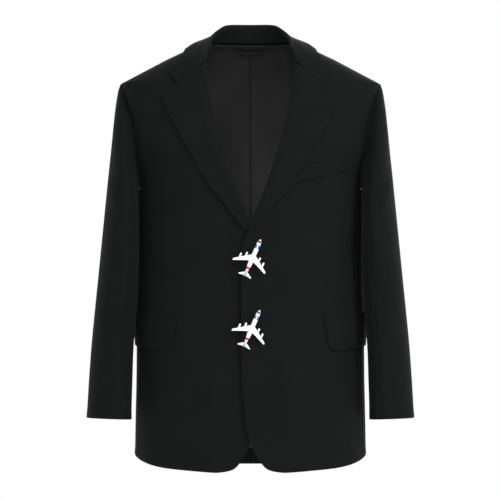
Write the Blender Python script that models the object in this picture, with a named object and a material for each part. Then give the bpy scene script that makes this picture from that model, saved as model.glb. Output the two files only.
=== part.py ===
"""Single-breasted tailored jacket, hollow, in the pose in which a body fills it.

Metres, +Z up, front towards -Y, wearer's left at +X. The origin is at the neck base between the shoulders.
Every cloth piece is a thin closed wall cut from one torso form or one sleeve form.
"""
import math

import bpy
import bmesh
from mathutils import Vector

# driving dimensions
WALL = 0.0020
SEAM = 0.0004
STAND_OFF = 0.0016
APPLIED = 0.0020
LINING_WALL = 0.0012
ROLL_RADIUS = 0.0037
EDGE_FROM_ROLL = 0.0055
COLLAR_RADIUS = 0.0028
UNDER_SINK = 0.0036
BUTTON_STAND = 0.0085
FUSELAGE_LENGTH = 0.0750
FUSELAGE_RADIUS = 0.0043
WING_SPAN = 0.0660

# shoulder ridge from the neck point to the sleeve head, as (z, half width)
RIDGE = [(0.0180, 0.0860), (0.0100, 0.0890), (-0.0226, 0.1580), (-0.0670, 0.2420)]

# below the sleeve head, as (z, half width)
BODY = [
    (-0.0670, 0.2420), (-0.0760, 0.2395), (-0.0880, 0.2365), (-0.1100, 0.2338), (-0.1350, 0.2305),
    (-0.1650, 0.2265), (-0.1900, 0.2225), (-0.2200, 0.2140), (-0.2500, 0.2072), (-0.2800, 0.2091),
    (-0.3000, 0.2096), (-0.3200, 0.2096), (-0.3600, 0.2097), (-0.4000, 0.2103), (-0.4400, 0.2117),
    (-0.4700, 0.2134), (-0.4926, 0.2148), (-0.5200, 0.2151), (-0.5400, 0.2152), (-0.5600, 0.2143),
    (-0.6200, 0.2147), (-0.6800, 0.2160), (-0.7600, 0.2174), (-0.8200, 0.2185)]

# depth of the form, as (z, front, back, roundness)
DEPTH = [
    (0.0180, 0.030, 0.0600, 2.10), (0.0085, 0.044, 0.0660, 2.10), (0.0038, 0.055, 0.0735, 2.15),
    (-0.0019, 0.0640, 0.0795, 2.20), (-0.0075, 0.0700, 0.0845, 2.20), (-0.0132, 0.0755, 0.0880, 2.20),
    (-0.0226, 0.0815, 0.0930, 2.25), (-0.0360, 0.0880, 0.0990, 2.30), (-0.0508, 0.0935, 0.1050, 2.30),
    (-0.0670, 0.0985, 0.1100, 2.30), (-0.0880, 0.1050, 0.1150, 2.30), (-0.1100, 0.1105, 0.1190, 2.35),
    (-0.1350, 0.1160, 0.1225, 2.35), (-0.1650, 0.1220, 0.1255, 2.40), (-0.1900, 0.1265, 0.1270, 2.40),
    (-0.2200, 0.1310, 0.1275, 2.40), (-0.2500, 0.1345, 0.1265, 2.40), (-0.2800, 0.1365, 0.1245, 2.40),
    (-0.3200, 0.1370, 0.1205, 2.40), (-0.3600, 0.1350, 0.1155, 2.40), (-0.4000, 0.1325, 0.1110, 2.40),
    (-0.4400, 0.1315, 0.1090, 2.40), (-0.4800, 0.1325, 0.1115, 2.40), (-0.5200, 0.1350, 0.1165, 2.40),
    (-0.5600, 0.1380, 0.1220, 2.40), (-0.6200, 0.1415, 0.1280, 2.40), (-0.6800, 0.1440, 0.1320, 2.40),
    (-0.7600, 0.1455, 0.1350, 2.40), (-0.8200, 0.1460, 0.1365, 2.40)]

# how far behind the shoulders the widest part of the body lies, as (z, y)
CENTRE = [(0.0, 0.0), (-0.0670, 0.0), (-0.2500, 0.0140), (-0.3200, 0.0270), (-0.8200, 0.0280)]

# hem height round the body, as (angle in degrees from the side, z); front angles are positive
HEM = [(-90, -0.7855), (-60, -0.7850), (-35, -0.7780), (-15, -0.7680), (0, -0.7610), (8.5, -0.7650),
       (22.8, -0.7755), (37.2, -0.7848), (52, -0.7895), (69.5, -0.7932), (90, -0.7936), (120, -0.7900)]

# armhole from the sleeve head down to the side seam, as (z, y)
ARMHOLE_FRONT = [(-0.0670, 0.0), (-0.0712, -0.0085), (-0.0800, -0.0150), (-0.0960, -0.0225),
                 (-0.1200, -0.0345), (-0.1480, -0.0435), (-0.1760, -0.0465), (-0.2030, -0.0430),
                 (-0.2250, -0.0350), (-0.2430, -0.0240)]
ARMHOLE_UNDER = [(-0.2545, -0.0120), (-0.2610, 0.0020), (-0.2635, 0.0140), (-0.2612, 0.0270),
                 (-0.2550, 0.0430)]
ARMHOLE_BACK = [(-0.0670, 0.0), (-0.0712, 0.013), (-0.0800, 0.0245), (-0.0960, 0.0360),
                (-0.1200, 0.0445), (-0.1480, 0.0500), (-0.1760, 0.0545), (-0.2030, 0.0585),
                (-0.2250, 0.0610), (-0.2430, 0.0620)]

# rows below the armhole at the side seams
SIDE_ROWS = [-0.2430, -0.297, -0.341, -0.352, -0.404, -0.462, -0.520, -0.578, -0.635, -0.690, -0.735]
FRONT_SEAM_ANGLE = [(-0.2430, 17.4), (-0.40, 17.4), (-0.80, 15.0)]
BACK_SEAM_ANGLE = [(-0.2430, -17.8), (-0.40, -18.5), (-0.80, -18.0)]

# left front edge in front view, (x, z), from the round hem corner up to the break of the lapel
FRONT_EDGE = [(0.0204, -0.7765), (0.0020, -0.7490), (-0.0090, -0.7000), (-0.0148, -0.6350),
              (-0.0170, -0.5780), (-0.0172, -0.5200), (-0.0172, -0.4620), (-0.0166, -0.4040),
              (-0.0092, -0.3520)]
HEM_CORNER = [(0.0204, -0.7765), (0.0262, -0.7832), (0.0345, -0.7885), (0.0470, -0.7925)]

# roll line of the lapels in front view, (x, z), from the gorge to the break
ROLL_TOP = [(0.0830, -0.0306), (0.0826, -0.0450), (0.0801, -0.0658), (0.0745, -0.0980),
            (0.0682, -0.1297), (0.0612, -0.1580), (0.0525, -0.1861), (0.0420, -0.2200),
            (0.0306, -0.2538), (0.0200, -0.2815), (0.0086, -0.3102), (-0.0024, -0.3370)]
ROLL_UNDER = [(0.0830, -0.0306), (0.0826, -0.0450), (0.0795, -0.0658), (0.0740, -0.0980),
              (0.0690, -0.1297), (0.0620, -0.1580), (0.0540, -0.1861), (0.0420, -0.2200),
              (0.0300, -0.2538), (0.0180, -0.2815), (0.0085, -0.3060), (0.0040, -0.3310)]
LAPEL_TIP = (0.1671, -0.0902)
NOTCH = (0.1342, -0.0677)
COLLAR_TIP = (0.1530, -0.0481)
LAPEL_EDGE_TOP = [(0.1671, -0.0902), (0.1508, -0.1250), (0.1292, -0.1651), (0.1087, -0.1995),
                  (0.0968, -0.2233), (0.0709, -0.2643), (0.0472, -0.2946), (0.0260, -0.3210),
                  (0.0085, -0.3370)]
LAPEL_EDGE_UNDER = [(0.1671, -0.0902), (0.1508, -0.1250), (0.1292, -0.1651), (0.1087, -0.1995),
                    (0.0968, -0.2233), (0.0709, -0.2643), (0.0472, -0.2946), (0.0300, -0.3180),
                    (0.0175, -0.3320)]

# collar stations from the front end to the centre back:
# neckline angle (degrees), neckline z, fold height over the neckline, leaf edge x or angle, leaf edge z
COLLAR = [
    ("front", 0.0885, -0.0306, 0.0055, 0.1530, -0.0481),
    ("front", 0.0886, -0.0195, 0.0058, 0.1455, -0.0375),
    ("front", 0.0887, -0.0085, 0.0072, 0.1365, -0.0262),
    ("front", 0.0888, 0.0015, 0.0092, 0.1260, -0.0145),
    ("angle", 0.0, 0.0100, 0.0128, 4.0, -0.0050),
    ("angle", -15.0, 0.0097, 0.0178, -14.0, -0.0050),
    ("angle", -30.0, 0.0093, 0.0262, -31.0, -0.0085),
    ("angle", -45.0, 0.0090, 0.0344, -46.0, -0.0115),
    ("angle", -60.0, 0.0087, 0.0368, -61.0, -0.0140),
    ("angle", -75.0, 0.0085, 0.0372, -75.5, -0.0155),
    ("angle", -90.0, 0.0085, 0.0372, -90.0, -0.0160)]
# foot of the collar stand: depth below the neck seam, distance out, swell of the leaf, inward lean
COLLAR_FOOT = [
    (0.0070, -0.0048, 0.0000, 0.0000), (0.0045, -0.0048, 0.0004, 0.0008),
    (0.0020, -0.0048, 0.0024, 0.0026), (0.0002, -0.0044, 0.0036, 0.0074),
    (-0.0014, -0.0030, 0.0036, 0.0130), (-0.0016, -0.0014, 0.0036, 0.0160),
    (-0.0016, -0.0010, 0.0032, 0.0150), (-0.0016, -0.0010, 0.0028, 0.0110),
    (-0.0016, -0.0010, 0.0025, 0.0060), (-0.0016, -0.0010, 0.0025, 0.0020),
    (-0.0016, -0.0010, 0.0025, 0.0000)]

# sleeve rings: outer side (x, z), side towards the body (x, z), centre y, half depth, share of free form
SLEEVE = [
    (0.2472, -0.0708, 0.2078, -0.2685, -0.001, 0.0620, 0.30),
    (0.2506, -0.0820, 0.2080, -0.2755, -0.002, 0.0660, 0.62),
    (0.2534, -0.1050, 0.2079, -0.2870, -0.006, 0.0700, 0.88),
    (0.2574, -0.1450, 0.2079, -0.3030, -0.010, 0.0735, 1.00),
    (0.2624, -0.1950, 0.2080, -0.3230, -0.013, 0.0755, 1.00),
    (0.2680, -0.2500, 0.2080, -0.3480, -0.015, 0.0760, 1.00),
    (0.2750, -0.3200, 0.2083, -0.3820, -0.016, 0.0740, 1.00),
    (0.2829, -0.4000, 0.2094, -0.4300, -0.019, 0.0700, 1.00),
    (0.2879, -0.4500, 0.2114, -0.4660, -0.022, 0.0670, 1.00),
    (0.2929, -0.5000, 0.2141, -0.5090, -0.026, 0.0638, 1.00),
    (0.2977, -0.5500, 0.2183, -0.5540, -0.030, 0.0605, 1.00),
    (0.3028, -0.6200, 0.2208, -0.6220, -0.035, 0.0562, 1.00),
    (0.3070, -0.6935, 0.2228, -0.6960, -0.041, 0.0530, 1.00)]
SLEEVE_TURN = 0.0140
UPPER_FIRST, UPPER_LAST = 17, 7

# hip pocket flap in front view at its front end (x, z) and by angle at its rear end
FLAP_TOP = [(0.1367, -0.5083), (-2.0, -0.4965)]
FLAP_BOTTOM = [(0.1460, -0.5690), (-2.0, -0.5560)]
JET_HEIGHT = 0.0048
WELT = [(0.0765, -0.2570), (0.0990, -0.2271), (0.1652, -0.2073), (0.1764, -0.2306)]
LOOP = [(-0.0329, 0.0052), (-0.0240, -0.0012), (-0.0110, -0.0040), (0.0, -0.0048),
        (0.0110, -0.0040), (0.0240, -0.0012), (0.0333, 0.0052)]
BUTTONS = [("plane_button_upper", 0.0039, -0.3945), ("plane_button_lower", 0.0022, -0.5260)]
BUTTON_TILT = 24.0

CLOTH = (0.020, 0.021, 0.021)
LINING = (0.045, 0.045, 0.046)
ENAMEL = (0.80, 0.80, 0.80)


def linear(table, key, column=1):
    """Value of a column at key, straight between rows whose first column rises or falls."""
    rows = sorted(table, key=lambda row: row[0])
    if key <= rows[0][0]:
        return rows[0][column]
    for low, high in zip(rows, rows[1:]):
        if key <= high[0]:
            share = (key - low[0]) / (high[0] - low[0])
            return low[column] + (high[column] - low[column]) * share
    return rows[-1][column]


def rounded(table, key, column=1):
    """Like linear, but smooth through the rows and without overshoot."""
    rows = sorted(table, key=lambda row: row[0])
    keys = [row[0] for row in rows]
    vals = [row[column] for row in rows]
    if key <= keys[0]:
        return vals[0]
    if key >= keys[-1]:
        return vals[-1]
    at = 0
    while key > keys[at + 1]:
        at += 1

    def slope(i):
        if i == 0 or i == len(keys) - 1:
            return 0.0
        before = (vals[i] - vals[i - 1]) / (keys[i] - keys[i - 1])
        after = (vals[i + 1] - vals[i]) / (keys[i + 1] - keys[i])
        if before * after <= 0.0:
            return 0.0
        return 2.0 * before * after / (before + after)

    width = keys[at + 1] - keys[at]
    t = (key - keys[at]) / width
    start, end = slope(at) * width, slope(at + 1) * width
    return ((2 * t**3 - 3 * t**2 + 1) * vals[at] + (t**3 - 2 * t**2 + t) * start
            + (3 * t**2 - 2 * t**3) * vals[at + 1] + (t**3 - t**2) * end)


def along(points, share):
    """Point at a share of the length of a line through the given points, with rounded corners."""
    steps = [0.0]
    for one, two in zip(points, points[1:]):
        steps.append(steps[-1] + math.dist(one, two))
    target = share * steps[-1]
    columns = range(len(points[0]))
    rows = [(steps[i],) + tuple(points[i]) for i in range(len(points))]
    out = []
    for c in columns:
        at = 0
        while at < len(rows) - 2 and target > rows[at + 1][0]:
            at += 1
        before, low = rows[max(at - 1, 0)], rows[at]
        high, after = rows[at + 1], rows[min(at + 2, len(rows) - 1)]
        width = high[0] - low[0]
        t = min(max((target - low[0]) / width, 0.0), 1.0)
        m0 = (high[c + 1] - before[c + 1]) / max(high[0] - before[0], 1e-9) * width
        m1 = (after[c + 1] - low[c + 1]) / max(after[0] - low[0], 1e-9) * width
        out.append((2 * t**3 - 3 * t**2 + 1) * low[c + 1] + (t**3 - 2 * t**2 + t) * m0
                   + (3 * t**2 - 2 * t**3) * high[c + 1] + (t**3 - t**2) * m1)
    return tuple(out)


def ease(value, low, high):
    """Soft step from 0 at low to 1 at high."""
    t = min(max((value - low) / (high - low), 0.0), 1.0)
    return t * t * (3.0 - 2.0 * t)


def half_width(z):
    """Half width of the torso form at a height."""
    return linear(RIDGE, z) if z > -0.0670 else rounded(BODY, z)


def depths(z):
    """Centre y, front depth, back depth and roundness of the form at a height."""
    middle = rounded(CENTRE, z)
    return middle, rounded(DEPTH, z, 1) + middle, rounded(DEPTH, z, 2) - middle, rounded(DEPTH, z, 3)


def torso(angle, z):
    """Point on the outside of the torso form; angle in radians from the side, front positive."""
    width = half_width(z)
    middle, front, back, power = depths(z)
    depth = front if math.sin(angle) > 0 else back
    reach = (abs(math.cos(angle) / width)**power + abs(math.sin(angle) / depth)**power)**(-1.0 / power)
    return Vector((reach * math.cos(angle), middle - reach * math.sin(angle), z))


def torso_out(angle, z):
    """Outward direction of the torso form."""
    step = 0.004
    across = torso(angle + step, z) - torso(angle - step, z)
    upward = torso(angle, z + 0.0015) - torso(angle, z - 0.0015)
    out = across.cross(upward)
    middle = torso(angle, z)
    if out.x * middle.x + out.y * middle.y < 0:
        out = -out
    return out.normalized()


def front_angle(x, z):
    """Angle of the point of the front that shows at (x, z) in front view."""
    width = half_width(z)
    _, depth, _, power = depths(z)
    inside = max(0.0, 1.0 - (min(abs(x), width) / width)**power)
    return math.atan2(depth * inside**(1.0 / power), x)


def arm_angle(z, y):
    """Angle of the point of the form at height z and depth y, on the +X side."""
    width = half_width(z)
    middle, front, back, power = depths(z)
    y -= middle
    x = width * max(0.0, 1.0 - (abs(y) / (front if y < 0 else back))**power)**(1.0 / power)
    return math.atan2(-y, x)


def sink(x, z):
    """How far the lapped-under front lies behind the form; x is measured towards its own edge."""
    return UNDER_SINK * ease(-x, -0.075, -0.024) * ease(-z, 0.20, 0.30)


def mesh_object(name, verts, faces, colour, rough):
    """Adds one closed mesh with its own plain material."""
    mesh = bpy.data.meshes.new(name)
    mesh.from_pydata([tuple(v) for v in verts], [], faces)
    edit = bmesh.new()
    edit.from_mesh(mesh)
    bmesh.ops.recalc_face_normals(edit, faces=edit.faces)
    if edit.calc_volume(signed=True) < 0:
        bmesh.ops.reverse_faces(edit, faces=edit.faces)
    bmesh.ops.triangulate(edit, faces=edit.faces)
    edit.to_mesh(mesh)
    edit.free()
    for face in mesh.polygons:
        face.use_smooth = True
    material = bpy.data.materials.new(name + "_material")
    material.use_nodes = True
    shader = material.node_tree.nodes["Principled BSDF"]
    shader.inputs["Base Color"].default_value = (*colour, 1.0)
    shader.inputs["Roughness"].default_value = rough
    mesh.materials.append(material)
    item = bpy.data.objects.new(name, mesh)
    bpy.context.scene.collection.objects.link(item)
    return item


def slab(name, outer, inner, colour=CLOTH, rough=0.9):
    """Closed wall between two grids of points of equal size."""
    rows, cols = len(outer), len(outer[0])
    verts = [p for row in outer for p in row] + [p for row in inner for p in row]
    shift = rows * cols

    def at(i, j, low):
        return i * cols + j + (shift if low else 0)

    faces = []
    for i in range(rows - 1):
        for j in range(cols - 1):
            faces.append((at(i, j, 0), at(i, j + 1, 0), at(i + 1, j + 1, 0), at(i + 1, j, 0)))
            faces.append((at(i, j, 1), at(i + 1, j, 1), at(i + 1, j + 1, 1), at(i, j + 1, 1)))
    for i in range(rows - 1):
        for j in (0, cols - 1):
            faces.append((at(i, j, 0), at(i + 1, j, 0), at(i + 1, j, 1), at(i, j, 1)))
    for j in range(cols - 1):
        for i in (0, rows - 1):
            faces.append((at(i, j, 0), at(i, j, 1), at(i, j + 1, 1), at(i, j + 1, 0)))
    return mesh_object(name, verts, faces, colour, rough)


def flip(grid, side):
    """The grid itself for the wearer's left, mirrored for the right."""
    if side > 0:
        return grid
    return [[Vector((-p.x, p.y, p.z)) for p in row] for row in grid]


def pull(grid, edge, gap=SEAM / 2):
    """Moves one border of a grid inwards by half a seam gap; edge is first or last row or column."""
    out = [list(row) for row in grid]
    rows, cols = len(grid), len(grid[0])
    if edge in ("first_row", "last_row"):
        i, k = (0, 1) if edge == "first_row" else (rows - 1, rows - 2)
        for j in range(cols):
            out[i][j] = grid[i][j] + (grid[k][j] - grid[i][j]).normalized() * gap
    else:
        j, k = (0, 1) if edge == "first_col" else (cols - 1, cols - 2)
        for i in range(rows):
            out[i][j] = grid[i][j] + (grid[i][k] - grid[i][j]).normalized() * gap
    return out


def nearest(point):
    """(angle, z) of the place of the torso form nearest to a point."""
    z = point.z
    angle = math.atan2(depths(z)[0] - point.y, point.x)
    for _ in range(12):
        here = torso(angle, z)
        miss = point - here
        by_angle = (torso(angle + 0.002, z) - torso(angle - 0.002, z)) / 0.004
        by_z = (torso(angle, z + 0.0005) - torso(angle, z - 0.0005)) / 0.001
        a, b, c = by_angle.dot(by_angle), by_angle.dot(by_z), by_z.dot(by_z)
        e, f = by_angle.dot(miss), by_z.dot(miss)
        span = a * c - b * b
        if abs(span) < 1e-12:
            break
        angle += 0.7 * max(-0.2, min(0.2, (c * e - b * f) / span))
        z += 0.7 * max(-0.02, min(0.02, (a * f - b * e) / span))
    return angle, z


def patch(bottom, top, inner, outer):
    """Grid of (angle, z) between four border lists: rows run from bottom to top."""
    rows, cols = len(inner), len(bottom)
    low, high = [torso(*p) for p in bottom], [torso(*p) for p in top]
    first, last = [torso(*p) for p in inner], [torso(*p) for p in outer]
    grid = []
    for i in range(rows):
        v = i / (rows - 1)
        line = []
        for j in range(cols):
            u = j / (cols - 1)
            if i in (0, rows - 1) or j in (0, cols - 1):
                if i in (0, rows - 1):
                    border = bottom[j] if i == 0 else top[j]
                else:
                    border = inner[i] if j == 0 else outer[i]
                line.append(border)
                continue
            point = (low[j] * (1 - v) + high[j] * v + first[i] * (1 - u) + last[i] * u
                     - low[0] * (1 - u) * (1 - v) - low[-1] * u * (1 - v)
                     - high[0] * (1 - u) * v - high[-1] * u * v)
            line.append(nearest(point))
        grid.append(line)
    return grid


def walls(grid, offset=0.0, wall=WALL, drop=None):
    """Outer and inner point grids of a piece given as a grid of (angle, z)."""
    outer, inner = [], []
    for row in grid:
        line_out, line_in = [], []
        for angle, z in row:
            point, out = torso(angle, z), torso_out(angle, z)
            face = offset - (drop(point.x, z) if drop else 0.0)
            line_out.append(point + out * face)
            line_in.append(point + out * (face - wall))
        outer.append(line_out)
        inner.append(line_in)
    return outer, inner


def hem(angle):
    """Hem height at an angle in radians."""
    return rounded(HEM, math.degrees(angle))


def seam_angle(table, z):
    return math.radians(linear(table, z))


def side_line(table):
    """Side seam from the hem up to the armhole, as (angle, z)."""
    line = []
    low_angle = seam_angle(table, -0.77)
    low = hem(low_angle)
    line.append((low_angle, low))
    for z in reversed(SIDE_ROWS):
        line.append((seam_angle(table, z), z))
    return line


def armhole_line(table):
    """Armhole from the side seam up to the sleeve head, as (angle, z), without its first point."""
    return [(arm_angle(z, y), z) for z, y in reversed(table[:-1])]


def roll_line(side):
    return ROLL_TOP if side > 0 else ROLL_UNDER


def front_grid(side):
    """Front panel in (angle, z), from its hem to the shoulder seam."""
    outer = side_line(FRONT_SEAM_ANGLE) + armhole_line(ARMHOLE_FRONT)
    outer[11] = (arm_angle(*ARMHOLE_FRONT[-1]), ARMHOLE_FRONT[-1][0])
    flat = list(FRONT_EDGE)
    roll = roll_line(side)
    end = roll[-1]
    flat.append((end[0] + EDGE_FROM_ROLL, -0.3415))
    for z in (-0.300, -0.250, -0.205, -0.165, -0.128, -0.092, -0.060, -0.0306):
        flat.append((linear([(r[1], r[0]) for r in roll], z) + EDGE_FROM_ROLL, z))
    flat += [(0.0886, -0.0170), (0.0888, -0.0030)]
    inner = [(front_angle(x, z), z) for x, z in flat] + [(0.0, 0.0100)]
    bottom = []
    cols = 10
    start = [(front_angle(x, z), z) for x, z in HEM_CORNER]
    for j in range(cols + 1):
        if j < 3:
            bottom.append(start[j])
        else:
            share = (j - 2) / (cols - 2)
            angle = start[2][0] + (outer[0][0] - start[2][0]) * share
            bottom.append((angle, hem(angle)))
    top = []
    for j in range(cols + 1):
        if j <= 4:
            top.append((0.0, 0.0100 + (-0.0226 - 0.0100) * j / 4))
        else:
            top.append((0.0, -0.0226 + (-0.0670 + 0.0226) * (j - 4) / 6))
    return patch(bottom, top, inner, outer)


def back_grid():
    """Back panel in (angle, z), from the centre back out to the side seam and armhole."""
    outer = side_line(BACK_SEAM_ANGLE) + armhole_line(ARMHOLE_BACK)
    outer[11] = (arm_angle(*ARMHOLE_BACK[-1]), ARMHOLE_BACK[-1][0])
    middle = -math.pi / 2
    inner = [(middle, hem(middle))]
    heights = [-0.735, -0.690, -0.635, -0.578, -0.520, -0.462, -0.404, -0.352, -0.335, -0.290, -0.240,
               -0.202, -0.166, -0.132, -0.101, -0.074, -0.050, -0.029, -0.010]
    inner += [(middle, z) for z in heights] + [(middle, 0.0085)]
    cols = 10
    bottom = []
    for j in range(cols + 1):
        angle = middle + (outer[0][0] - middle) * j / cols
        bottom.append((angle, hem(angle)))
    top = []
    for j in range(cols + 1):
        if j <= 4:
            top.append((middle * (1 - j / 4), 0.0085 + 0.0015 * j / 4))
        elif j <= 7:
            top.append((0.0, 0.0100 + (-0.0226 - 0.0100) * (j - 4) / 3))
        else:
            top.append((0.0, -0.0226 + (-0.0670 + 0.0226) * (j - 7) / 3))
    return patch(bottom, top, inner, outer)


def lining_drop(x, z):
    """The lining hangs a little free of the back under the shoulder seam's outer end."""
    return 0.0035 * ease(abs(x), 0.165, 0.215) * ease(z, -0.130, -0.085)


def side_grid():
    """Side panel in (angle, z), from the back seam to the front seam."""
    front = side_line(FRONT_SEAM_ANGLE)
    back = side_line(BACK_SEAM_ANGLE)
    front[-1] = (arm_angle(*ARMHOLE_FRONT[-1]), ARMHOLE_FRONT[-1][0])
    back[-1] = (arm_angle(*ARMHOLE_BACK[-1]), ARMHOLE_BACK[-1][0])
    top = [back[-1]] + [(arm_angle(y=y, z=z), z) for z, y in reversed(ARMHOLE_UNDER)] + [front[-1]]
    bottom = []
    for j in range(len(top)):
        angle = back[0][0] + (front[0][0] - back[0][0]) * j / (len(top) - 1)
        bottom.append((angle, hem(angle)))
    return patch(bottom, top, back, front)


def armhole_ring():
    """Points of the armhole with the body piece's outward and into-the-hole directions."""
    pairs = [(arm_angle(z, y), z) for z, y in ARMHOLE_FRONT]
    pairs += [(arm_angle(z, y), z) for z, y in ARMHOLE_UNDER]
    pairs += [(arm_angle(z, y), z) for z, y in reversed(ARMHOLE_BACK[1:])]
    points = [torso(a, z) for a, z in pairs]
    outs = [torso_out(a, z) for a, z in pairs]
    centre = sum(points, Vector()) / len(points)
    holes = []
    for k, point in enumerate(points):
        tangent = points[(k + 1) % len(points)] - points[k - 1]
        inwards = tangent.cross(outs[k]).normalized()
        if inwards.dot(centre - point) < 0:
            inwards = -inwards
        holes.append(inwards)
    return points, outs, holes


def sleeve_grids():
    """Outer and inner closed rings of the left sleeve, from the armhole to the cuff."""
    points, outs, holes = armhole_ring()
    count = len(points)
    top, low = points[0], points[11]
    middle, half = (top + low) / 2, (top - low) / 2
    shares = []
    for p in points:
        c = (p - middle).dot(half) / half.length_squared
        s = -p.y / 0.062
        shares.append(math.atan2(s, c))
    rings = []
    for ox, oz, ix, iz, yc, depth, free in SLEEVE:
        outer, inner = Vector((ox, SLEEVE_TURN, oz)), Vector((ix, -SLEEVE_TURN, iz))
        centre, arm = (outer + inner) / 2, (outer - inner) / 2
        ring = []
        for k in range(count):
            c, s = math.cos(shares[k]), math.sin(shares[k])
            reach = (abs(c)**2.3 + abs(s)**2.3)**(-1 / 2.3)
            target = centre + arm * (c * reach) + Vector((0, yc - depth * s * reach, 0))
            base = points[k] + outs[k] * 0.002 + Vector((0.002, 0, 0))
            ring.append(base.lerp(target, free))
        rings.append(ring)
    firsts, walls_in = [], []
    for k in range(count):
        run = (rings[0][k] - points[k]).normalized()
        bend = max(0.0, math.atan2(run.dot(outs[k]), run.dot(holes[k])))
        lift = SEAM * min(max((bend - 0.78) / 0.78, 0.0), 1.0)
        start = points[k] + holes[k] * SEAM + outs[k] * lift
        firsts.append(start)
        walls_in.append(start + (holes[k] * math.sin(bend) - outs[k] * math.cos(bend)) * WALL)
    rings.insert(0, firsts)
    inside = [walls_in]
    for i in range(1, len(rings)):
        line = []
        for k in range(count):
            around = rings[i][(k + 1) % count] - rings[i][k - 1]
            down = rings[min(i + 1, len(rings) - 1)][k] - rings[i - 1][k]
            out = around.cross(down).normalized()
            if out.dot(rings[i][k] - sum(rings[i], Vector()) / count) < 0:
                out = -out
            line.append(rings[i][k] - out * WALL)
        inside.append(line)
    return rings, inside


def part_of_ring(rings, first, last):
    """Columns of closed rings from first round to last."""
    count = len(rings[0])
    picks = [first]
    while picks[-1] != last:
        picks.append((picks[-1] + 1) % count)
    return [[ring[k] for k in picks] for ring in rings]


def roll_profile(radius, leg, tops, rise):
    """Section of cloth turned over an edge: pairs of outer and inner (distance, height) points."""
    half = APPLIED / 2
    level = -radius + STAND_OFF + half
    pairs = []
    for s in leg:
        pairs.append(((s, level - radius - half), (s, level - radius + half)))
    for turn in (-90, -130, -180, -230, -270):
        a = math.radians(turn)
        far, near = radius + half, radius - half
        start = radius + half
        pairs.append(((start + far * math.cos(a), level + far * math.sin(a)),
                      (start + near * math.cos(a), level + near * math.sin(a))))
    for share in tops:
        pairs.append((("top", share, rise(share) + APPLIED), ("top", share, rise(share))))
    return pairs


def lapel_grids(side):
    """Outer and inner grids of a lapel rolled over the edge of its front."""
    roll, edge = roll_line(side), (LAPEL_EDGE_TOP if side > 0 else LAPEL_EDGE_UNDER)
    shares = [0.0, 0.06, 0.13, 0.21, 0.30, 0.39, 0.48, 0.57, 0.66, 0.75, 0.83, 0.91, 1.0]
    tops = (0.22, 0.42, 0.613, 0.80, 1.0)
    profile = roll_profile(ROLL_RADIUS, (0.0120, 0.0075), tops, lambda s: STAND_OFF)
    outer, inner = [], []
    for share in shares:
        start, end = along(roll, share), along(edge, share)
        width = math.dist(start, end)
        heading = ((end[0] - start[0]) / width, (end[1] - start[1]) / width)
        lines = ([], [])
        for pair in profile:
            for which in (0, 1):
                spec = pair[which]
                if spec[0] == "top":
                    base = 2 * ROLL_RADIUS * 0.7
                    s, n = base + (width - base) * spec[1], spec[2]
                else:
                    s, n = spec
                x, z = start[0] + heading[0] * s, start[1] + heading[1] * s
                angle = front_angle(x, z)
                drop = sink(x, z) if side < 0 else 0.0
                lines[which].append(torso(angle, z) + torso_out(angle, z) * (n - drop))
        outer.append(lines[0])
        inner.append(lines[1])
    return outer, inner


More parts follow.
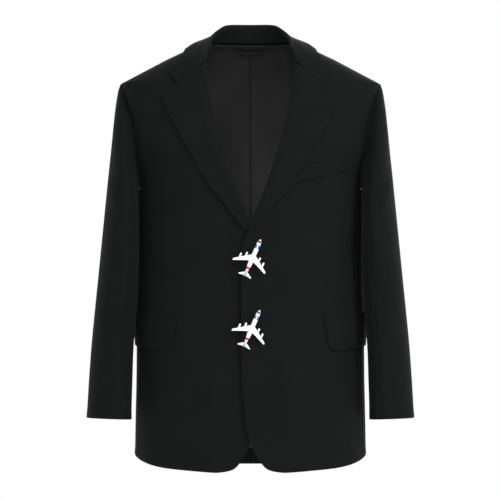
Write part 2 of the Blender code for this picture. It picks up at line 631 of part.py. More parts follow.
def collar_grids():
    """Outer and inner grids of the collar, from the wearer's right end round to the left."""
    stations = []
    for kind, where, z, height, edge, edge_z in COLLAR:
        angle = front_angle(where, z) if kind == "front" else math.radians(where)
        leaf = front_angle(edge, edge_z) if kind == "front" else math.radians(edge)
        stations.append((torso(angle, z), torso_out(angle, z), height, leaf, edge_z))
    gorge = ROLL_TOP[0]
    ahead_of_gorge = (gorge[0] + 0.012, gorge[1] - 0.0087)
    dir0 = (torso(front_angle(*ahead_of_gorge), ahead_of_gorge[1])
            - torso(front_angle(*gorge), gorge[1])).normalized()
    count = len(stations)
    outer, inner = [], []
    for k, (neck, out, height, leaf, edge_z) in enumerate(stations):
        ahead = stations[min(k + 1, count - 1)][0]
        behind = stations[max(k - 1, 0)][0]
        tangent = (ahead - behind).normalized()
        if k == count - 1:
            tangent = Vector((-1, 0, 0))
        radial = Vector((neck.x, neck.y, 0)).normalized()
        outward = out.lerp(radial, ease(k, 1.0, 5.0))
        outward = (outward - tangent * outward.dot(tangent)).normalized()
        upward = outward.cross(tangent).normalized()
        if upward.dot(Vector((-0.4 if k < 3 else 0.0, 0, 1))) < 0:
            upward = -upward
        blend = ease(k, 0.0, 3.0)
        upward = (-dir0).lerp(upward, blend)
        upward = (upward - outward * upward.dot(outward)).normalized()
        radius = ROLL_RADIUS + (COLLAR_RADIUS - ROLL_RADIUS) * blend
        level = -radius + STAND_OFF + APPLIED / 2 if k == 0 else -0.0006
        depth, down = COLLAR_FOOT[k][1], COLLAR_FOOT[k][0]
        foot = neck - upward * down + outward * depth
        apex = neck + upward * (height - radius - APPLIED / 2)
        apex = apex + outward * (level * (1 - blend) - 0.0010 * blend - COLLAR_FOOT[k][3])
        half = APPLIED / 2
        section_out, section_in = [], []
        lean = (apex - outward * radius - foot).normalized()
        across = (outward - lean * outward.dot(lean)).normalized()
        for share in (0.0, 0.5):
            centre = foot.lerp(apex - outward * radius, share)
            section_out.append(centre - across * half)
            section_in.append(centre + across * half)
        for turn in (180, 135, 90, 45, 0):
            a = math.radians(turn)
            ray = outward * math.cos(a) + upward * math.sin(a)
            section_out.append(apex + ray * (radius + half))
            section_in.append(apex + ray * (radius - half))
        leaf_out = torso_out(leaf, edge_z)
        leaf_low = torso(leaf, edge_z) + leaf_out * (STAND_OFF + 0.0007)
        last_in = section_in[-1]
        if k == 0:
            for share in (0.22, 0.42, 0.613):
                width = math.dist(ROLL_TOP[0], LAPEL_TIP)
                base = 2 * ROLL_RADIUS * 0.7
                s = (base + (width - base) * share) / width
                x, z = along([ROLL_TOP[0], LAPEL_TIP], s)
                angle = front_angle(x, z)
                low = torso(angle, z) + torso_out(angle, z) * (STAND_OFF + 0.0007)
                section_in.append(low)
                section_out.append(low + torso_out(angle, z) * APPLIED)
            for share in (0.5, 1.0):
                x, z = along([NOTCH, COLLAR_TIP], share)
                angle = front_angle(x, z)
                low = torso(angle, z) + torso_out(angle, z) * (STAND_OFF + 0.0007)
                section_in.append(low)
                section_out.append(low + torso_out(angle, z) * APPLIED)
        else:
            for share in (0.2, 0.4, 0.62, 0.81, 1.0):
                low = last_in.lerp(leaf_low, share)
                swell = COLLAR_FOOT[k][2] * math.sin(math.pi * share)
                normal = (leaf_out.lerp(outward, 1 - share)).normalized()
                low = low + normal * swell
                if k < 4 and share < 1.0:
                    angle = front_angle(low.x, low.z)
                    face_out = torso_out(angle, low.z)
                    short = STAND_OFF + 0.0010 - (low - torso(angle, low.z)).dot(face_out)
                    low = low + face_out * max(0.0, short)
                section_in.append(low)
                section_out.append(low + normal * APPLIED)
        outer.append(section_out)
        inner.append(section_in)
    left_out, left_in = outer, inner
    right_out = flip(left_out, -1)[:-1]
    right_in = flip(left_in, -1)[:-1]
    return right_out + list(reversed(left_out)), right_in + list(reversed(left_in))


def flap_grids(side, tops, bottoms, cols, rows, offset, wall, rounded_ends):
    """Strip on the hip between a top and a bottom line, in (angle, z)."""
    outer, inner = [], []
    top = [(front_angle(*tops[0]), tops[0][1]), (math.radians(tops[1][0]), tops[1][1])]
    bottom = [(front_angle(*bottoms[0]), bottoms[0][1]), (math.radians(bottoms[1][0]), bottoms[1][1])]
    for i in range(rows + 1):
        v = i / rows
        line_out, line_in = [], []
        for j in range(cols + 1):
            u = j / cols
            angle = (top[0][0] + (top[1][0] - top[0][0]) * u) * (1 - v)
            angle += (bottom[0][0] + (bottom[1][0] - bottom[0][0]) * u) * v
            z = (top[0][1] + (top[1][1] - top[0][1]) * u) * (1 - v)
            z += (bottom[0][1] + (bottom[1][1] - bottom[0][1]) * u) * v
            if rounded_ends:
                z += 0.010 * v * (max(0.0, 1 - u / 0.10)**2 + max(0.0, 1 - (1 - u) / 0.10)**2)
            point, out = torso(angle, z), torso_out(angle, z)
            line_out.append(point + out * (offset + wall))
            line_in.append(point + out * offset)
        outer.append(line_out)
        inner.append(line_in)
    return flip(outer, side), flip(inner, side)


def welt_grids():
    """Breast pocket welt on the wearer's left, its inner end along the edge of the lapel."""
    low_left, high_left, high_right, low_right = WELT
    outer, inner = [], []
    for i in range(3):
        v = i / 2
        line_out, line_in = [], []
        for j in range(7):
            u = j / 6
            x = (low_left[0] + (low_right[0] - low_left[0]) * u) * (1 - v)
            x += (high_left[0] + (high_right[0] - high_left[0]) * u) * v
            z = (low_left[1] + (low_right[1] - low_left[1]) * u) * (1 - v)
            z += (high_left[1] + (high_right[1] - high_left[1]) * u) * v
            angle = front_angle(x, z)
            point, out = torso(angle, z), torso_out(angle, z)
            line_out.append(point + out * (0.0008 + 0.0018))
            line_in.append(point + out * 0.0008)
        outer.append(line_out)
        inner.append(line_in)
    return outer, inner


def loop_grids():
    """Hanger loop on the lining below the back of the collar."""
    outer, inner = [], []
    for k in range(11):
        x, z = along(LOOP, k / 10)
        off = 0.0060 + 0.0035 * math.sin(math.pi * k / 10)
        line_out, line_in = [], []
        for drop in (-0.0030, 0.0030):
            _, _, depth, power = depths(z + drop)
            width = half_width(z + drop)
            angle = math.atan2(-depth * (1 - (abs(x) / width)**power)**(1 / power), x)
            point, out = torso(angle, z + drop), torso_out(angle, z + drop)
            line_out.append(point - out * off)
            line_in.append(point - out * (off + 0.0012))
        outer.append(line_out)
        inner.append(line_in)
    return outer, inner


def lathe(name, rings, count):
    """Closed round body from (distance along X, radius) rings."""
    verts, faces = [], []
    for x, radius in rings:
        for k in range(count):
            a = 2 * math.pi * k / count
            verts.append((x, radius * math.cos(a), radius * math.sin(a)))
    for i in range(len(rings) - 1):
        for k in range(count):
            m = (k + 1) % count
            faces.append((i * count + k, i * count + m, (i + 1) * count + m, (i + 1) * count + k))
    faces.append(tuple(range(count)))
    faces.append(tuple(range((len(rings) - 1) * count, len(rings) * count)))
    return mesh_object(name, verts, faces, ENAMEL, 0.25)


def prism(name, outline, low, high, plane="flat"):
    """Flat piece with the given outline; flat pieces lie in XZ, upright ones in XY."""
    verts, faces = [], []
    for level in (low, high):
        for a, b in outline:
            verts.append((a, level, b) if plane == "flat" else (a, b, level))
    count = len(outline)
    faces.append(tuple(range(count)))
    faces.append(tuple(range(count, 2 * count)))
    for k in range(count):
        m = (k + 1) % count
        faces.append((k, m, count + m, count + k))
    return mesh_object(name, verts, faces, ENAMEL, 0.25)


def united(name, items):
    """One closed solid from several overlapping ones."""
    base = items[0]
    for extra in items[1:]:
        step = base.modifiers.new("join", "BOOLEAN")
        step.operation = "UNION"
        step.solver = "EXACT"
        step.object = extra
    bpy.context.view_layer.update()
    graph = bpy.context.evaluated_depsgraph_get()
    mesh = bpy.data.meshes.new_from_object(base.evaluated_get(graph))
    result = bpy.data.objects.new(name, mesh)
    bpy.context.scene.collection.objects.link(result)
    for item in items:
        bpy.data.objects.remove(item, do_unlink=True)
    return result


def plane_button(name, x, z):
    """Novelty button shaped like a toy jet aeroplane, nose up, lying on the front edge."""
    half = FUSELAGE_LENGTH / 2
    rings = [(-half, 0.0007), (-half * 0.86, 0.0017), (-half * 0.62, 0.0030), (-half * 0.30, FUSELAGE_RADIUS),
             (half * 0.60, FUSELAGE_RADIUS), (half * 0.80, FUSELAGE_RADIUS * 0.86),
             (half * 0.93, FUSELAGE_RADIUS * 0.55), (half, 0.0009)]
    body = lathe(name + "_body", rings, 12)
    span = WING_SPAN / 2
    wing = prism(name + "_wing", [(0.0080, 0.0), (-0.0140, span), (-0.0180, span), (-0.0050, 0.0),
                                  (-0.0180, -span), (-0.0140, -span)], 0.0006, 0.0024)
    tail = prism(name + "_tail", [(-0.0270, 0.0), (-0.0345, 0.0125), (-0.0370, 0.0125), (-0.0350, 0.0),
                                  (-0.0370, -0.0125), (-0.0345, -0.0125)], -0.0010, 0.0006)
    fin_outline = [(-0.0240, -0.0010), (-0.0335, -0.0120), (-0.0375, -0.0120), (-0.0352, -0.0010)]
    fin = prism(name + "_fin", fin_outline, -0.0007, 0.0007, "upright")
    items = [body, wing, tail, fin]
    for place, forward in ((0.0125, 0.0022), (0.0215, -0.0036)):
        for sign in (-1, 1):
            pod_rings = [(-0.0035, 0.0012), (-0.001, 0.0018), (0.0042, 0.0018), (0.0050, 0.0013)]
            pod = lathe(name + "_pod", pod_rings, 8)
            for v in pod.data.vertices:
                v.co.x += forward - 0.0015
                v.co.y += 0.0030
                v.co.z += sign * place
            items.append(pod)
    shank = lathe(name + "_shank", [(-0.0050, 0.0013), (0.0040, 0.0013)], 10)
    for v in shank.data.vertices:
        v.co = Vector((v.co.y, v.co.x + 0.0075, v.co.z))
    items.append(shank)
    result = united(name, items)
    tilt = math.radians(90.0 - BUTTON_TILT)
    cloth = torso(front_angle(x, z), z).y
    for v in result.data.vertices:
        a, b, c = v.co.x, v.co.y, v.co.z
        v.co = Vector((x + a * math.cos(tilt) - c * math.sin(tilt), b + cloth - BUTTON_STAND,
                       z + a * math.sin(tilt) + c * math.cos(tilt)))
    for face in result.data.polygons:
        face.use_smooth = True
    result.data.update()
    return result


def slit(front, x, z):
    """Buttonhole through the lapping front at one button."""
    cutter = prism("slit_cutter", [(x - 0.0060, z - 0.0018), (x + 0.0140, z - 0.0018),
                                   (x + 0.0140, z + 0.0018), (x - 0.0060, z + 0.0018)], -0.16, -0.12)
    cutter.hide_render = True
    cutter.display_type = "WIRE"
    step = front.modifiers.new("slit", "BOOLEAN")
    step.operation = "DIFFERENCE"
    step.solver = "EXACT"
    step.object = cutter


for old in list(bpy.data.objects):
    bpy.data.objects.remove(old, do_unlink=True)

for side, word in ((1, "left"), (-1, "right")):
    grid = front_grid(side)
    outer, inner = walls(grid, drop=sink if side < 0 else None)
    for edge in ("last_col", "last_row"):
        outer, inner = pull(outer, edge), pull(inner, edge)
    panel = slab("front_" + word, flip(outer, side), flip(inner, side))
    if side > 0:
        for _, button_x, button_z in BUTTONS:
            slit(panel, button_x, button_z)

    grid = side_grid()
    outer, inner = walls(grid)
    for edge in ("first_col", "last_col"):
        outer, inner = pull(outer, edge), pull(inner, edge)
    slab("side_panel_" + word, flip(outer, side), flip(inner, side))

    grid = back_grid()
    outer, inner = walls(grid)
    for edge in ("first_col", "last_col", "last_row"):
        outer, inner = pull(outer, edge), pull(inner, edge)
    slab("back_" + word, flip(outer, side), flip(inner, side))

    outer, inner = walls(grid, offset=-WALL - 0.0010, wall=LINING_WALL, drop=lining_drop)
    lining_gaps = (("first_row", 0.0150), ("last_row", 0.0030), ("last_col", 0.0040), ("first_col", 0.0003))
    for edge, gap in lining_gaps:
        outer, inner = pull(outer, edge, gap), pull(inner, edge, gap)
    slab("lining_back_" + word, flip(outer, side), flip(inner, side), LINING, 0.45)

    rings, inside = sleeve_grids()
    pieces = (("upper_sleeve_", UPPER_FIRST, UPPER_LAST), ("under_sleeve_", UPPER_LAST, UPPER_FIRST))
    for title, first, last in pieces:
        outer, inner = part_of_ring(rings, first, last), part_of_ring(inside, first, last)
        for edge in ("first_col", "last_col"):
            outer, inner = pull(outer, edge), pull(inner, edge)
        slab(title + word, flip(outer, side), flip(inner, side))

    outer, inner = lapel_grids(side)
    outer, inner = pull(outer, "first_row"), pull(inner, "first_row")
    slab("lapel_" + word, flip(outer, side), flip(inner, side))

    outer, inner = flap_grids(side, FLAP_TOP, FLAP_BOTTOM, 11, 4, 0.0009, APPLIED, True)
    slab("pocket_flap_" + word, outer, inner)
    jet_low = [(x, z + 0.0006) for x, z in FLAP_TOP]
    jet_high = [(x, z + 0.0006 + JET_HEIGHT) for x, z in FLAP_TOP]
    outer, inner = flap_grids(side, jet_high, jet_low, 11, 1, 0.0009, 0.0012, False)
    slab("pocket_jet_" + word, outer, inner)

outer, inner = collar_grids()
for edge in ("first_row", "last_row"):
    outer, inner = pull(outer, edge), pull(inner, edge)
slab("collar", outer, inner)

outer, inner = welt_grids()
slab("breast_welt", outer, inner)
outer, inner = loop_grids()
slab("hanger_loop", outer, inner)
for title, button_x, button_z in BUTTONS:
    plane_button(title, button_x, button_z)
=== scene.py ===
"""Looks of the single-breasted tailored jacket: finer cloth with creases, seams and finishes."""
import math

import bpy
import numpy as np
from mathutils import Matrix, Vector


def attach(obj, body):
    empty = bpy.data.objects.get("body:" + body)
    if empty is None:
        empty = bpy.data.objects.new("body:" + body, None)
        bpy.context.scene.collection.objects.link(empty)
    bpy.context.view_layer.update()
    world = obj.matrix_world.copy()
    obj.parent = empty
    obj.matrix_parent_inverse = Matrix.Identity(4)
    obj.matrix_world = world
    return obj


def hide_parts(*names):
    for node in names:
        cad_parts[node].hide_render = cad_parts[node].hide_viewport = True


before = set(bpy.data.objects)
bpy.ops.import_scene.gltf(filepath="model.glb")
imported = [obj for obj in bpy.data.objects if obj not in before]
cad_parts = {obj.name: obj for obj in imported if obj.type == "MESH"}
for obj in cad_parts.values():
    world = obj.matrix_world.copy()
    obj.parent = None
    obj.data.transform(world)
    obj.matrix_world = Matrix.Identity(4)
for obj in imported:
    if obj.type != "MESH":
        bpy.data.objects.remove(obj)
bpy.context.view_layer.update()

# sizes of the form, as in the part's source, in metres
WALL = 0.002
STAND_OFF = 0.0016
APPLIED = 0.002
ROLL_RADIUS = 0.0037
EDGE_FROM_ROLL = 0.0055
COLLAR_RADIUS = 0.0028
UNDER_SINK = 0.0036
BUTTON_STAND = 0.0085
FUSELAGE_LENGTH = 0.075
FUSELAGE_RADIUS = 0.0043
WING_SPAN = 0.066
LEAF_LEVEL = STAND_OFF + 0.0007
# share of a roll's width at which the lapel's even part starts
ROLL_SHARE = 0.7
WORDS = {1: "left", -1: "right"}

# heights of the neck point, the bend of the shoulder ridge, the sleeve head and the back of the neck
NECK_Z = 0.01
BEND_Z = -0.0226
HEAD_Z = -0.067
BACK_NECK_Z = 0.0085

# shoulder ridge from the neck point to the sleeve head, as (z, half width)
RIDGE = [(0.018, 0.086), (0.01, 0.089), (-0.0226, 0.158), (-0.067, 0.242)]

# below the sleeve head, as (z, half width)
BODY = [
    (-0.067, 0.242), (-0.076, 0.2395), (-0.088, 0.2365), (-0.11, 0.2338), (-0.135, 0.2305), (-0.165, 0.2265),
    (-0.19, 0.2225), (-0.22, 0.214), (-0.25, 0.2072), (-0.28, 0.2091), (-0.3, 0.2096), (-0.32, 0.2096),
    (-0.36, 0.2097), (-0.4, 0.2103), (-0.44, 0.2117), (-0.47, 0.2134), (-0.4926, 0.2148), (-0.52, 0.2151),
    (-0.54, 0.2152), (-0.56, 0.2143), (-0.62, 0.2147), (-0.68, 0.216), (-0.76, 0.2174), (-0.82, 0.2185)]

# depth of the form, as (z, front, back, roundness)
DEPTH = [
    (0.018, 0.03, 0.06, 2.1), (0.0085, 0.044, 0.066, 2.1), (0.0038, 0.055, 0.0735, 2.15),
    (-0.0019, 0.064, 0.0795, 2.2), (-0.0075, 0.07, 0.0845, 2.2), (-0.0132, 0.0755, 0.088, 2.2),
    (-0.0226, 0.0815, 0.093, 2.25), (-0.036, 0.088, 0.099, 2.3), (-0.0508, 0.0935, 0.105, 2.3),
    (-0.067, 0.0985, 0.11, 2.3), (-0.088, 0.105, 0.115, 2.3), (-0.11, 0.1105, 0.119, 2.35),
    (-0.135, 0.116, 0.1225, 2.35), (-0.165, 0.122, 0.1255, 2.4), (-0.19, 0.1265, 0.127, 2.4),
    (-0.22, 0.131, 0.1275, 2.4), (-0.25, 0.1345, 0.1265, 2.4), (-0.28, 0.1365, 0.1245, 2.4),
    (-0.32, 0.137, 0.1205, 2.4), (-0.36, 0.135, 0.1155, 2.4), (-0.4, 0.1325, 0.111, 2.4),
    (-0.44, 0.1315, 0.109, 2.4), (-0.48, 0.1325, 0.1115, 2.4), (-0.52, 0.135, 0.1165, 2.4),
    (-0.56, 0.138, 0.122, 2.4), (-0.62, 0.1415, 0.128, 2.4), (-0.68, 0.144, 0.132, 2.4),
    (-0.76, 0.1455, 0.135, 2.4), (-0.82, 0.146, 0.1365, 2.4)]

# how far behind the shoulders the widest part of the body lies, as (z, y)
CENTRE = [(0.0, 0.0), (-0.067, 0.0), (-0.25, 0.014), (-0.32, 0.027), (-0.82, 0.028)]

# hem height round the body, as (angle in degrees from the side, z); front angles are positive
HEM = [
    (-90, -0.7855), (-60, -0.785), (-35, -0.778), (-15, -0.768), (0, -0.761), (8.5, -0.765), (22.8, -0.7755),
    (37.2, -0.7848), (52, -0.7895), (69.5, -0.7932), (90, -0.7936), (120, -0.79)]

# armhole from the sleeve head down to the side seam, as (z, y)
ARMHOLE_FRONT = [
    (-0.067, 0.0), (-0.0712, -0.0085), (-0.08, -0.015), (-0.096, -0.0225), (-0.12, -0.0345),
    (-0.148, -0.0435), (-0.176, -0.0465), (-0.203, -0.043), (-0.225, -0.035), (-0.243, -0.024)]
ARMHOLE_UNDER = [(-0.2545, -0.012), (-0.261, 0.002), (-0.2635, 0.014), (-0.2612, 0.027), (-0.255, 0.043)]
ARMHOLE_BACK = [
    (-0.067, 0.0), (-0.0712, 0.013), (-0.08, 0.0245), (-0.096, 0.036), (-0.12, 0.0445), (-0.148, 0.05),
    (-0.176, 0.0545), (-0.203, 0.0585), (-0.225, 0.061), (-0.243, 0.062)]

# rows below the armhole at the side seams, and the seams' angles in degrees by height
SIDE_ROWS = [-0.297, -0.341, -0.352, -0.404, -0.462, -0.52, -0.578, -0.635, -0.69, -0.735]
FRONT_SEAM_ANGLE = [(-0.243, 17.4), (-0.4, 17.4), (-0.8, 15.0)]
BACK_SEAM_ANGLE = [(-0.243, -17.8), (-0.4, -18.5), (-0.8, -18.0)]

# rows of the lapel's part of the front edge, the front's neck edge (x, z), and rows of the centre back
ROLL_ROWS = [-0.3, -0.25, -0.205, -0.165, -0.128, -0.092, -0.06, -0.0306]
NECK_EDGE = [(0.0886, -0.017), (0.0888, -0.003)]
BACK_ROWS = [
    -0.735, -0.69, -0.635, -0.578, -0.52, -0.462, -0.404, -0.352, -0.335, -0.29, -0.24, -0.202, -0.166,
    -0.132, -0.101, -0.074, -0.05, -0.029, -0.01, 0.0085]

# left front edge in front view, (x, z), from the round hem corner up to the break of the lapel
FRONT_EDGE = [
    (0.0204, -0.7765), (0.002, -0.749), (-0.009, -0.7), (-0.0148, -0.635), (-0.017, -0.578), (-0.0172, -0.52),
    (-0.0172, -0.462), (-0.0166, -0.404), (-0.0092, -0.352)]
FRONT_EDGE_DENSE = [
    (0.0204, -0.7765), (0.0104, -0.761), (0.002, -0.7442), (-0.0054, -0.7201), (-0.009, -0.7),
    (-0.0123, -0.6587), (-0.0148, -0.635), (-0.0167, -0.578), (-0.017, -0.52), (-0.0171, -0.462),
    (-0.0169, -0.42), (-0.0151, -0.3742), (-0.0105, -0.356), (-0.0068, -0.3475)]
HEM_CORNER = [(0.0204, -0.7765), (0.0262, -0.7832), (0.0345, -0.7885)]

# roll line of the lapels in front view, (x, z), from the gorge to the break
ROLL_TOP = [
    (0.083, -0.0306), (0.0826, -0.045), (0.0801, -0.0658), (0.0745, -0.098), (0.0682, -0.1297),
    (0.0612, -0.158), (0.0525, -0.1861), (0.042, -0.22), (0.0306, -0.2538), (0.02, -0.2815),
    (0.0086, -0.3102), (-0.0024, -0.337)]
ROLL_UNDER = [
    (0.083, -0.0306), (0.0826, -0.045), (0.0795, -0.0658), (0.074, -0.098), (0.069, -0.1297), (0.062, -0.158),
    (0.054, -0.1861), (0.042, -0.22), (0.03, -0.2538), (0.018, -0.2815), (0.0085, -0.306), (0.004, -0.331)]
LAPEL_TIP = (0.1671, -0.0902)
NOTCH = (0.1342, -0.0677)
COLLAR_TIP = (0.153, -0.0481)
LAPEL_EDGE = [
    (0.1671, -0.0902), (0.1508, -0.125), (0.1292, -0.1651), (0.1087, -0.1995), (0.0968, -0.2233),
    (0.0709, -0.2643), (0.0472, -0.2946)]

# collar stations from the front end to the centre back:
# neckline x or angle (degrees), neckline z, fold height over the neckline, leaf edge x or angle, leaf edge z
COLLAR = [
    ("front", 0.0885, -0.0306, 0.0055, 0.153, -0.0481), ("front", 0.0886, -0.0195, 0.0058, 0.1455, -0.0375),
    ("front", 0.0887, -0.0085, 0.0072, 0.1365, -0.0262), ("front", 0.0888, 0.0015, 0.0092, 0.126, -0.0145),
    ("angle", 0.0, 0.01, 0.0128, 4.0, -0.005), ("angle", -15.0, 0.0097, 0.0178, -14.0, -0.005),
    ("angle", -30.0, 0.0093, 0.0262, -31.0, -0.0085), ("angle", -45.0, 0.009, 0.0344, -46.0, -0.0115),
    ("angle", -60.0, 0.0087, 0.0368, -61.0, -0.014), ("angle", -75.0, 0.0085, 0.0372, -75.5, -0.0155),
    ("angle", -90.0, 0.0085, 0.0372, -90.0, -0.016)]
# collar foot: depth below the neck seam, distance out, swell of the leaf, inward lean of the stand
COLLAR_FOOT = [
    (0.007, -0.0048, 0.0, 0.0), (0.0045, -0.0048, 0.0004, 0.0008), (0.002, -0.0048, 0.0024, 0.0026),
    (0.0002, -0.0044, 0.0036, 0.0074), (-0.0014, -0.003, 0.0036, 0.013), (-0.0016, -0.0014, 0.0036, 0.016),
    (-0.0016, -0.001, 0.0032, 0.015), (-0.0016, -0.001, 0.0028, 0.011), (-0.0016, -0.001, 0.0025, 0.006),
    (-0.0016, -0.001, 0.0025, 0.002), (-0.0016, -0.001, 0.0025, 0.0)]

# sleeve rings: outer side (x, z), side towards the body (x, z), centre y, half depth, share of free form
SLEEVE = [
    (0.2472, -0.0708, 0.2078, -0.2685, -0.001, 0.062, 0.3),
    (0.2506, -0.082, 0.208, -0.2755, -0.002, 0.066, 0.62),
    (0.2534, -0.105, 0.2079, -0.287, -0.006, 0.07, 0.88),
    (0.2574, -0.145, 0.2079, -0.303, -0.01, 0.0735, 1.0),
    (0.2624, -0.195, 0.208, -0.323, -0.013, 0.0755, 1.0), (0.268, -0.25, 0.208, -0.348, -0.015, 0.076, 1.0),
    (0.275, -0.32, 0.2083, -0.382, -0.016, 0.074, 1.0), (0.2829, -0.4, 0.2094, -0.43, -0.019, 0.07, 1.0),
    (0.2879, -0.45, 0.2114, -0.466, -0.022, 0.067, 1.0), (0.2929, -0.5, 0.2141, -0.509, -0.026, 0.0638, 1.0),
    (0.2977, -0.55, 0.2183, -0.554, -0.03, 0.0605, 1.0), (0.3028, -0.62, 0.2208, -0.622, -0.035, 0.0562, 1.0),
    (0.307, -0.6935, 0.2228, -0.696, -0.041, 0.053, 1.0)]
SLEEVE_TURN = 0.014
UPPER_FIRST, UPPER_LAST = 17, 7

# hip pocket flap in front view at its front end (x, z) and by angle at its rear end
FLAP_TOP = [(0.1367, -0.5083), (-2.0, -0.4965)]
FLAP_BOTTOM = [(0.146, -0.569), (-2.0, -0.556)]
JET_HEIGHT = 0.0048
WELT = [(0.0765, -0.257), (0.099, -0.2271), (0.1652, -0.2073), (0.1764, -0.2306)]
LOOP = [
    (-0.0329, 0.0052), (-0.024, -0.0012), (-0.011, -0.004), (0.0, -0.0048), (0.011, -0.004), (0.024, -0.0012),
    (0.0333, 0.0052)]

# aeroplane buttons, (node, x, z), and stations along the fuselage and an engine, as (distance, radius)
BUTTONS = [("plane_button_upper", 0.0039, -0.3945), ("plane_button_lower", 0.0022, -0.526)]
BUTTON_TILT = 24.0
WINDOW_TURN = math.radians(52)
FUSELAGE = [(-1.0, 0.0007), (-0.93, 0.0012), (-0.86, 0.0017), (-0.74, 0.0024), (-0.62, 0.003),
            (-0.56, 0.0033), (-0.48, 0.0037)] + [(share / 10, FUSELAGE_RADIUS) for share in range(-3, 7)]
FUSELAGE += [(share, FUSELAGE_RADIUS * small) for share, small in (
    (0.7, 0.96), (0.8, 0.86), (0.87, 0.72), (0.93, 0.55), (0.97, 0.36), (1.0, 0.14))]
ENGINE = [
    (-0.0038, 0.0008), (-0.003, 0.0013), (-0.001, 0.0018), (0.0025, 0.0019), (0.0042, 0.0018),
    (0.0048, 0.0016), (0.005, 0.0013), (0.0042, 0.001)]
SHANK = [(-0.005, 0.0013), (-0.002, 0.0012), (0.0015, 0.0012), (0.004, 0.0013)]
WINDOW = [(-0.0004, 0.0002), (-0.0003, 0.0005), (0.0003, 0.0005), (0.0004, 0.0002)]
# layers of a wing: how far its outline draws in, and share of the half thickness
BLADE_EDGE = [(0.0007, -1.0), (0.0002, -0.8), (0.0, -0.35), (0.0, 0.35), (0.0002, 0.8), (0.0007, 1.0)]

# soft ridges and troughs of the fronts in front view: x, z, x, z, half width, height
FRONT_CREASES = [
    (0.01, -0.405, 0.15, -0.345, 0.012, 0.0011), (0.012, -0.385, 0.12, -0.285, 0.01, -0.0009),
    (0.015, -0.425, 0.165, -0.44, 0.013, 0.001), (0.014, -0.54, 0.13, -0.5, 0.012, 0.0008),
    (0.02, -0.56, 0.11, -0.64, 0.014, 0.0012), (0.06, -0.56, 0.085, -0.78, 0.018, 0.0016),
    (0.125, -0.6, 0.14, -0.79, 0.02, -0.0016), (0.176, -0.6, 0.18, -0.77, 0.015, 0.0014),
    (0.176, -0.12, 0.186, -0.3, 0.014, -0.0022), (0.15, -0.16, 0.17, -0.33, 0.016, 0.0014),
    (0.196, -0.3, 0.15, -0.42, 0.014, 0.0012), (0.19, -0.38, 0.135, -0.47, 0.011, -0.001)]
DART = [(0.138, -0.295), (0.1385, -0.5)]

# the same on the back, by x and z, mirrored left and right with small changes
BACK_CREASES = [
    (0.012, -0.03, 0.075, -0.075, 0.01, 0.0012), (0.05, -0.05, 0.15, -0.105, 0.014, -0.0012),
    (0.15, -0.11, 0.176, -0.26, 0.014, 0.0024), (0.128, -0.13, 0.15, -0.3, 0.014, -0.0015),
    (0.06, -0.36, 0.175, -0.395, 0.013, 0.0013), (0.03, -0.4, 0.17, -0.425, 0.012, -0.0011),
    (0.04, -0.445, 0.15, -0.455, 0.012, 0.0009), (0.06, -0.52, 0.075, -0.78, 0.02, 0.0022),
    (0.13, -0.54, 0.145, -0.775, 0.019, -0.002)]

# sleeve creases: share round the sleeve, share down it, the same at the end, half width, height
SLEEVE_CREASES = [
    (0.06, 0.44, 0.3, 0.5, 0.016, 0.0016), (0.1, 0.5, 0.36, 0.545, 0.014, -0.0014),
    (0.08, 0.56, 0.33, 0.6, 0.015, 0.0013), (0.55, 0.4, 0.8, 0.47, 0.018, 0.0014),
    (0.52, 0.53, 0.78, 0.56, 0.016, -0.0012), (0.12, 0.2, 0.17, 0.42, 0.022, 0.0016),
    (0.86, 0.12, 0.84, 0.4, 0.022, -0.0014), (0.2, 0.7, 0.24, 0.97, 0.024, 0.0012)]

# the break of the lapels, as (x, z) of the front's border: 1 is the wearer's left, on top, and -1 the right
BREAK = {1: [(-0.0046, -0.344), (-0.002, -0.34), (0.002, -0.334)],
         -1: [(-0.0046, -0.344), (0.001, -0.34), (0.007, -0.334)]}
ROLL = {1: ROLL_TOP, -1: ROLL_UNDER}

# lapels: last point of the roll line, lower end of the edge, narrowing at the break, lift of the edge
LAPEL_ENDS = {1: ((-0.0058, -0.3452), [(0.026, -0.321), (0.0085, -0.337), (-0.004, -0.347)], 0.72, 0.001),
              -1: ((0.0042, -0.34), [(0.03, -0.318), (0.0175, -0.332), (0.0084, -0.3436)], 0.62, 0.0019)}

# fineness of the cloth, its rims and its seams
FINE = 5
RIM = 0.0006
SEAM_GAP = 0.00012
TUCK = 0.0008
SEAM_DIP = 0.0011
SEAM_WIDTH = 0.0026
CREASE_CLEAR = (0.002, 0.022)

# lift of the overlapping front's edge and how far in it fades
OVERLAP_LIFT = 0.0026
OVERLAP_FADE = 0.014

# edge stitching: how deep it sinks, its distance from the edge and its half width
STITCH = (0.0003, 0.0055, 0.0007)
FLAP_STITCH = (0.00035, 0.006, 0.0007)
WELT_STITCH = (0.00035, 0.003, 0.0006)

# creases: height of the banks beside a ridge, their distance in half widths, and how sharply the ends fade
BANK_SHARE = 0.35
BANK_AWAY = 2.2
CREASE_FADE = 1.3
DART_DEPTH = 0.0009
DART_SHOULDER = 0.0005

# lining: behind the cloth, further behind at the arm, thickness, ripples and seam
LINING_BEHIND = 0.001
LINING_CLEAR = 0.0035
LINING_THICK = 0.0009
LINING_RIPPLE = 0.0009
LINING_SEAM = (0.0004, 0.0016)
# row at the foot of the armhole and column at the neck point in the back's coarse grid
HOLE_ROW = 11
NECK_COLUMN = 4

# swell of the lapel beside its roll, and its place across the lapel
BULGE = 0.0016
BULGE_AT = 0.16
# how far the collar's fold stands in from the neck seam
STAND_IN = 0.001

# laid pieces
LAID_GAP = 0.0009
FLAP_CROWN = 0.0008
FLAP_ROUNDING = 0.01
JET_THICK = 0.0012
JET_CROWN = 0.0007
WELT_LEVELS = (0.0026, 0.0008)

